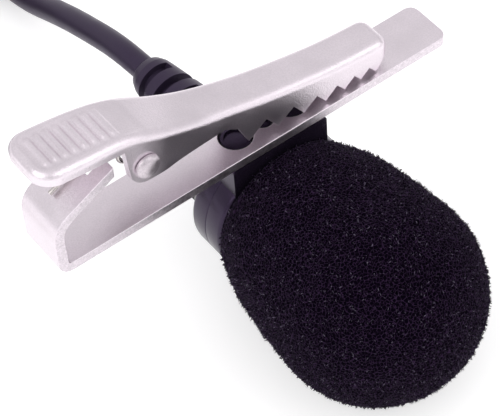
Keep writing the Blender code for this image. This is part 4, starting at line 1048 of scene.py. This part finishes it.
def pressed_sheet(settings):
    """The drawn channel of the upper jaw as an open sheet, with its pad pressed in and its edge trimmed."""
    edge = lower_edge()
    stations = jaw_stations(edge)
    bm = bmesh.new()
    top = bm.faces.new([bm.verts.new((x, STRIP_MIDDLE + y, 0.0)) for x, y in jaw_plan(stations)])
    walls = bmesh.ops.extrude_face_region(bm, geom=[top])
    base = [item for item in walls["geom"] if isinstance(item, bmesh.types.BMVert)]
    bmesh.ops.translate(bm, verts=base, vec=(0.0, 0.0, -JAW_DEPTH))
    bmesh.ops.recalc_face_normals(bm, faces=bm.faces)
    rim = [side for side in bm.edges if all(vert.co.z > -MM for vert in side.verts)]
    bmesh.ops.bevel(bm, geom=rim, offset=JAW_EDGE_RADIUS, segments=7, profile=0.5, affect="EDGES",
                    material=-1)
    below = [face for face in bm.faces if face.normal.z < -0.9]
    bmesh.ops.delete(bm, geom=below, context="FACES_ONLY")
    for x in stations[:-1]:
        bmesh.ops.bisect_plane(bm, geom=bm.verts[:] + bm.edges[:] + bm.faces[:], dist=1e-6,
                               plane_co=(x, 0.0, 0.0), plane_no=(1.0, 0.0, 0.0))
    for step in range(-PAD_LINES_PER_SIDE, PAD_LINES_PER_SIDE + 1):
        flat = [face for face in bm.faces if face.normal.z > 0.999 and face.calc_center_median().x < PAD_END]
        around = list({side for face in flat for side in face.edges})
        corners = list({vert for face in flat for vert in face.verts})
        line = (0.0, STRIP_MIDDLE + step * PAD_LINE_PITCH, 0.0)
        bmesh.ops.bisect_plane(bm, geom=corners + around + flat, dist=1e-6, plane_co=line,
                               plane_no=(0.0, 1.0, 0.0))
    for vert in bm.verts:
        if vert.co.z < MM - JAW_DEPTH:
            vert.co.z = trimmed_height(vert.co.x, edge)
            continue
        raised = pad_relief(vert.co.x, vert.co.y - STRIP_MIDDLE, settings) if vert.co.z > -1e-5 else 0.0
        vert.co.z += crest(vert.co.x) + raised
    return bm


def tip_height(x):
    """Height of the tooth tips over the strip: closed at the nose, rising towards the pivot."""
    slope = (TOOTH_FIRST_HEIGHT - SEAT_GAP) / (TOOTH_CLOSED_FROM - TOOTH_FIRST)
    return SEAT_GAP + max(0.0, TOOTH_CLOSED_FROM - x) * slope


def tooth_line():
    """Tips and notches in turn, their pitch shrinking towards the nose."""
    points = []
    x = TOOTH_FIRST
    pitch = TOOTH_FIRST_PITCH
    for index in range(TOOTH_COUNT):
        points.append((x, tip_height(x)))
        if index < TOOTH_COUNT - 1:
            notch = x + pitch * TOOTH_RISE_SHARE
            points.append((notch, tip_height(notch) + pitch * TOOTH_DEPTH_RATIO))
        x += pitch
        pitch *= TOOTH_PITCH_RATIO
    return points


def split_edges_finish(piece, material, limit=0.9):
    """Puts the sheared finish on faces that look along Y."""
    piece.data.materials.append(material)
    for face in piece.data.polygons:
        if abs(face.normal.y) > limit:
            face.material_index = 1


class MICROPHONE_OT_upper_jaw(bpy.types.Operator):
    """Presses the upper jaw with its ribbed thumb pad and its teeth"""
    bl_idname = "microphone.upper_jaw"
    bl_label = "Upper jaw"

    def execute(self, context):
        settings = context.scene.clip_settings
        finishes = [finish("satin_plating"), finish("sheared_edge")]
        sheet = scratch_object(pressed_sheet(settings))
        for material in finishes:
            sheet.data.materials.append(material)
        wall = sheet.modifiers.new("wall", "SOLIDIFY")
        wall.thickness = JAW_SHEET
        wall.offset = -1.0
        wall.use_even_offset = True
        wall.material_offset_rim = 1
        bore = rod(RIVET_RADIUS + FIT_GAP, (PIVOT_X, -4 * MM, PIVOT_HEIGHT),
                   (PIVOT_X, STRIP_WIDTH + 4 * MM, PIVOT_HEIGHT))
        bm = carved(baked(sheet), ("DIFFERENCE", bore))
        bmesh.ops.transform(bm, matrix=CLIP, verts=bm.verts)
        weigh_cut_edges(bm)
        piece = add_piece(bm, "upper_jaw_pressing", "jaw", finishes[0])
        piece.data.materials.append(finishes[1])
        ease_edges(piece, settings.edge).limit_method = "WEIGHT"
        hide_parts("upper_jaw")
        return {"FINISHED"}


class MICROPHONE_OT_lower_jaw(bpy.types.Operator):
    """Finishes the folded strip, with eased edges and sheared flanks"""
    bl_idname = "microphone.lower_jaw"
    bl_label = "Lower jaw"

    def execute(self, context):
        settings = context.scene.clip_settings
        piece = add_piece(frame_copy("lower_jaw"), "folded_strip", "clip",
                          finish("satin_plating"))
        split_edges_finish(piece, finish("sheared_edge"))
        ease_edges(piece, settings.edge * 1.2)
        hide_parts("lower_jaw")
        return {"FINISHED"}


def spring_path(start_deg, end_deg, near, pitch, arm):
    """Turns of the spring about the pivot, then its arm, in the clip's coordinates."""
    steps = max(2, round(abs(end_deg - start_deg) / 9.0))
    points = []
    for step in range(steps + 1):
        share = step / steps
        angle = math.radians(start_deg + (end_deg - start_deg) * share)
        points.append(Vector((PIVOT_X + SPRING_COIL_RADIUS * math.cos(angle), near + pitch * share,
                              PIVOT_HEIGHT + SPRING_COIL_RADIUS * math.sin(angle))))
    last_y = points[-1].y
    return points + [Vector((x, last_y, z)) for x, z in arm]


class MICROPHONE_OT_rivet(bpy.types.Operator):
    """Makes the domed rivet and the torsion spring that it carries"""
    bl_idname = "microphone.rivet"
    bl_label = "Rivet and spring"

    def execute(self, context):
        half = (high_corner("pivot_rivet").y - low_corner("pivot_rivet").y) / 2
        seat = half - RIVET_HEAD_HEIGHT
        brim = 0.14 * MM
        dome = []
        for across, up in reversed(arc((0.0, 0.0), 1.0, 0.0, 84.0, 14)):
            dome.append((RIVET_HEAD_RADIUS * across, seat + brim + (RIVET_HEAD_HEIGHT - brim) * up))
        front = [(0.0, half), *dome, (RIVET_HEAD_RADIUS, seat + 0.05 * MM),
                 (RIVET_HEAD_RADIUS - 0.05 * MM, seat), (RIVET_RADIUS, seat)]
        rear = [(radius, -height) for radius, height in reversed(front)]
        piece = add_piece(spun(front + rear, 48, RIVET, closed=False), "rivet", "clip",
                          finish("polished_steel"))
        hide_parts("pivot_rivet")
        slope = math.tan(math.radians(LEG_ANGLE_DEG))
        lift = (SPRING_WIRE_RADIUS + SEAT_GAP) / math.cos(math.radians(LEG_ANGLE_DEG))
        leg = [(x, LEG_BASE_HEIGHT + x * slope + lift) for x in (5.0 * MM, 1.8 * MM)]
        near = STRIP_MIDDLE - SPRING_HALF_WIDTH + 0.3 * MM
        arm = [(MOVING_ARM_REACH, crest(MOVING_ARM_REACH) - JAW_SHEET - SPRING_WIRE_RADIUS - SEAT_GAP)]
        fixed = spring_path(-270.0, 94.0, near, FIXED_COIL_PITCH, leg)
        moving = spring_path(-190.0, 68.0, near + MOVING_COIL_OFFSET, 0.0, arm)
        for name, node, body, points in (("spring_fixed", "spring_fixed_arm", "clip", fixed),
                                         ("spring_moving", "spring_moving_arm", "jaw", moving)):
            piece = wire(name, [CLIP @ point for point in points], SPRING_WIRE_RADIUS, body,
                         finish("spring_wire"))
            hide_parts(node)
        return {"FINISHED"}


def holder_form():
    """Ring round the body, with the mould's parting line, a saddle under the strip and three studs."""
    far, near = span_ahead(MIC_CENTRE, "holder")
    radius = MIC_CENTRE.z - low_corner("holder").z
    bore = high_corner("body_tube").z - MIC_CENTRE.z + FIT_GAP
    parting = (near + far) / 2
    ring = eased([(bore - MM, near, 0.0), (radius, near, 0.6 * MM),
                  (radius, parting + PARTING_LINE, 0.05 * MM), (radius - PARTING_LINE, parting, 0.03 * MM),
                  (radius, parting - PARTING_LINE, 0.05 * MM), (radius, far, 0.6 * MM),
                  (bore - MM, far, 0.0)])
    bm = spun(ring, 120, MIC)
    under_strip = low_corner("lower_jaw").z - SEAT_GAP
    heel_side = MIC_CENTRE.x - SADDLE_HALF
    tip_side = MIC_CENTRE.x + SADDLE_HALF
    low = MIC_CENTRE.z + bore / 2
    saddle = slab(eased([(heel_side, low, 0.0), (tip_side, low, 0.0), (tip_side, under_strip, 0.25 * MM),
                         (heel_side, under_strip, 0.25 * MM)]),
                  low_corner("holder").y + 0.1 * MM, high_corner("holder").y - 0.1 * MM, upright=True)
    tools = [("UNION", saddle),
             ("DIFFERENCE", rod(bore, (MIC_CENTRE.x, -5 * MM, MIC_CENTRE.z),
                                (MIC_CENTRE.x, 10 * MM, MIC_CENTRE.z), 112))]
    top = high_corner("holder").z
    for offset, stud in ((-STUD_SPACING, STUD_RADIUS), (0.0, CENTRE_STUD_RADIUS),
                         (STUD_SPACING, STUD_RADIUS)):
        place = (MIC_CENTRE.x + offset, CLIP_ORIGIN.y + STRIP_MIDDLE)
        tools.append(("UNION", rod(stud, (*place, under_strip - MM), (*place, top), 48)))
        recess = rod(stud - STUD_RECESS, (*place, top - STUD_RECESS), (*place, top + MM), 48)
        tools.append(("DIFFERENCE", recess))
    return carved(bm, *tools)


class MICROPHONE_OT_holder(bpy.types.Operator):
    """Makes the holder: its ring, its saddle and the studs that come up through the strip"""
    bl_idname = "microphone.holder"
    bl_label = "Holder"

    def execute(self, context):
        piece = add_piece(holder_form(), "holder_moulding", "clip",
                          finish("moulded_plastic"), 32.0)
        ease_edges(piece, 0.12 * MM, 3, 45.0)
        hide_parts("holder")
        return {"FINISHED"}


# ---------------------------------------------------------------- microphone body

def grille_form():
    """Front disc with a ring of holes round a middle one."""
    radius = half_height("front_grille")
    rear, front = span_ahead(MIC_CENTRE, "front_grille")
    profile = eased([(0.0, front, 0.0), (radius, front, 0.3 * MM), (radius, rear, 0.05 * MM),
                     (0.0, rear, 0.0)], closed=False)
    tools = []
    for count, ring in ((1, 0.0), (6, GRILLE_RING_RADIUS)):
        for index in range(count):
            angle = 2 * math.pi * index / count
            x, y = ring * math.cos(angle), ring * math.sin(angle)
            hole = rod(GRILLE_HOLE_RADIUS, MIC @ Vector((x, y, rear - MM)), MIC @ Vector((x, y, front + MM)),
                       32)
            tools.append(("DIFFERENCE", hole))
    return carved(spun(profile, 64, MIC, closed=False), *tools)


def relief_form():
    """Bend relief with slots that leave one bridge each, on alternate sides."""
    bore = CORD_RADIUS + FIT_GAP
    end, front = span_ahead(MIC_CENTRE, "bend_relief")
    flange = front - 0.9 * MM
    collar = end + 1.9 * MM
    profile = eased([(bore, front, 0.0), (RELIEF_FLANGE_RADIUS, front, 0.1 * MM),
                     (RELIEF_FLANGE_RADIUS, flange, 0.1 * MM), (RELIEF_RADIUS, flange, 0.0),
                     (RELIEF_RADIUS, RELIEF_SHOULDER, 0.0),
                     (RELIEF_SHOULDER_RADIUS, RELIEF_SHOULDER, 0.2 * MM), (RELIEF_RADIUS, collar, 0.0),
                     (2.35 * MM, end + 1.0 * MM, 0.6 * MM), (1.95 * MM, end, 0.3 * MM), (bore, end, 0.0)])
    tools = []
    for index in range(SLOT_COUNT):
        middle = collar + SLOT_WIDTH / 2 + index * SLOT_PITCH
        start = SLOT_FIRST_BRIDGE_DEG + 180.0 * (index % 2) + SLOT_BRIDGE_DEG / 2
        stop = start + 360.0 - SLOT_BRIDGE_DEG
        ring = arc((0.0, 0.0), SLOT_OUTER_RADIUS, start, stop, 40)
        ring += arc((0.0, 0.0), SLOT_INNER_RADIUS, stop, start, 40)
        tools.append(("DIFFERENCE", slab(ring, middle - SLOT_WIDTH / 2, middle + SLOT_WIDTH / 2, MIC)))
    return carved(spun(profile, 80, MIC), *tools)


def body_profiles():
    """Round pieces of the body as (name, node, profile, finish, slot)."""
    radius = high_corner("body_tube").z - MIC_CENTRE.z
    rear, front = span_ahead(MIC_CENTRE, "body_tube")
    bore = radius - BODY_WALL
    groove = rear + 1.2 * MM
    bottom = radius - 0.2 * MM
    tube = [(bore, front, 0.1 * MM), (radius, front, 0.15 * MM), (radius, groove + 0.35 * MM, 0.08 * MM),
            (bottom, groove + 0.25 * MM, 0.05 * MM), (bottom, groove - 0.25 * MM, 0.05 * MM),
            (radius, groove - 0.35 * MM, 0.08 * MM), (radius, rear, 0.12 * MM), (bore, rear, 0.05 * MM)]
    joint = rear - SEAT_GAP
    cap_rear = span_ahead(MIC_CENTRE, "rear_cap")[0]
    spigot = bore - FIT_GAP
    cap = [(spigot - MM, rear + 1.8 * MM, 0.1 * MM), (spigot, rear + 1.8 * MM, 0.15 * MM),
           (spigot, joint, 0.0), (radius, joint, 0.15 * MM), (radius, joint - MM, 0.6 * MM),
           (CAP_REAR_RADIUS, cap_rear, 0.4 * MM), (CAP_MOUTH_RADIUS, cap_rear, 0.15 * MM),
           (CAP_MOUTH_RADIUS, cap_rear + MM, 0.0), (CAP_SEAT_RADIUS, cap_rear + MM, 0.0),
           (spigot - MM, joint, 0.0)]
    return [("body_shell", "body_tube", tube, "anodised_black", "black_metal"),
            ("rear_cap_moulding", "rear_cap", cap, "moulded_plastic", "black_plastic")]


class MICROPHONE_OT_body(bpy.types.Operator):
    """Makes the microphone's body, its front grille, its rear cap and the bend relief"""
    bl_idname = "microphone.body"
    bl_label = "Microphone body"

    def execute(self, context):
        for name, node, profile, material, slot in body_profiles():
            piece = add_piece(spun(eased(profile), 80, MIC), name, "microphone", finish(material))
            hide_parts(node)
        grille = add_piece(grille_form(), "grille_disc", "microphone",
                           finish("anodised_black"))
        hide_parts("front_grille")
        relief = add_piece(relief_form(), "bend_relief_moulding", "microphone",
                           finish("cord_rubber"))
        ease_edges(relief, 0.22 * MM, 4, 50.0)
        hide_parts("bend_relief")
        return {"FINISHED"}


class MICROPHONE_OT_inside(bpy.types.Operator):
    """Gives the solids inside the body their finishes"""
    bl_idname = "microphone.inside"
    bl_label = "Inner pieces"

    def execute(self, context):
        for node, material in (("felt_disc", "felt_fibres"), ("capsule_mount", "capsule_rubber"),
                               ("electret_capsule", "brushed_aluminium"), ("capsule_board", "circuit_board"),
                               ("signal_wire", "red_insulation"), ("ground_wire", "capsule_rubber"),
                               ("crimp_sleeve", "brushed_aluminium"), ("cord_tail", "cord_rubber")):
            dress(node, finish(material))
        return {"FINISHED"}


class MICROPHONE_PT_panel(bpy.types.Panel):
    """Lists the steps that build the microphone"""
    bl_idname = "MICROPHONE_PT_panel"
    bl_label = "Microphone"
    bl_space_type = "VIEW_3D"
    bl_region_type = "UI"
    bl_category = "Microphone"

    def draw(self, context):
        for operator in OPERATORS:
            self.layout.operator(operator.bl_idname)
        for name in SETTINGS:
            settings = getattr(context.scene, name)
            for key in settings.__annotations__:
                self.layout.prop(settings, key)


OPERATORS = (MICROPHONE_OT_stage, MICROPHONE_OT_cord, MICROPHONE_OT_foam, MICROPHONE_OT_upper_jaw,
             MICROPHONE_OT_lower_jaw, MICROPHONE_OT_rivet, MICROPHONE_OT_holder, MICROPHONE_OT_body,
             MICROPHONE_OT_inside)
SETTINGS = {"foam_settings": FoamSettings, "clip_settings": ClipSettings,
            "plastic_settings": PlasticSettings, "stage_settings": StageSettings}


def register():
    for group in (*SETTINGS.values(), *OPERATORS, MICROPHONE_PT_panel):
        bpy.utils.register_class(group)
    for name, group in SETTINGS.items():
        setattr(bpy.types.Scene, name, bpy.props.PointerProperty(type=group))


def unregister():
    for name in SETTINGS:
        delattr(bpy.types.Scene, name)
    for group in reversed((*SETTINGS.values(), *OPERATORS, MICROPHONE_PT_panel)):
        bpy.utils.unregister_class(group)


def main():
    register()
    bpy.ops.microphone.stage()
    bpy.ops.microphone.cord()
    bpy.ops.microphone.foam()
    bpy.ops.microphone.upper_jaw()
    bpy.ops.microphone.lower_jaw()
    bpy.ops.microphone.rivet()
    bpy.ops.microphone.holder()
    bpy.ops.microphone.body()
    bpy.ops.microphone.inside()


if __name__ == "__main__":
    main()
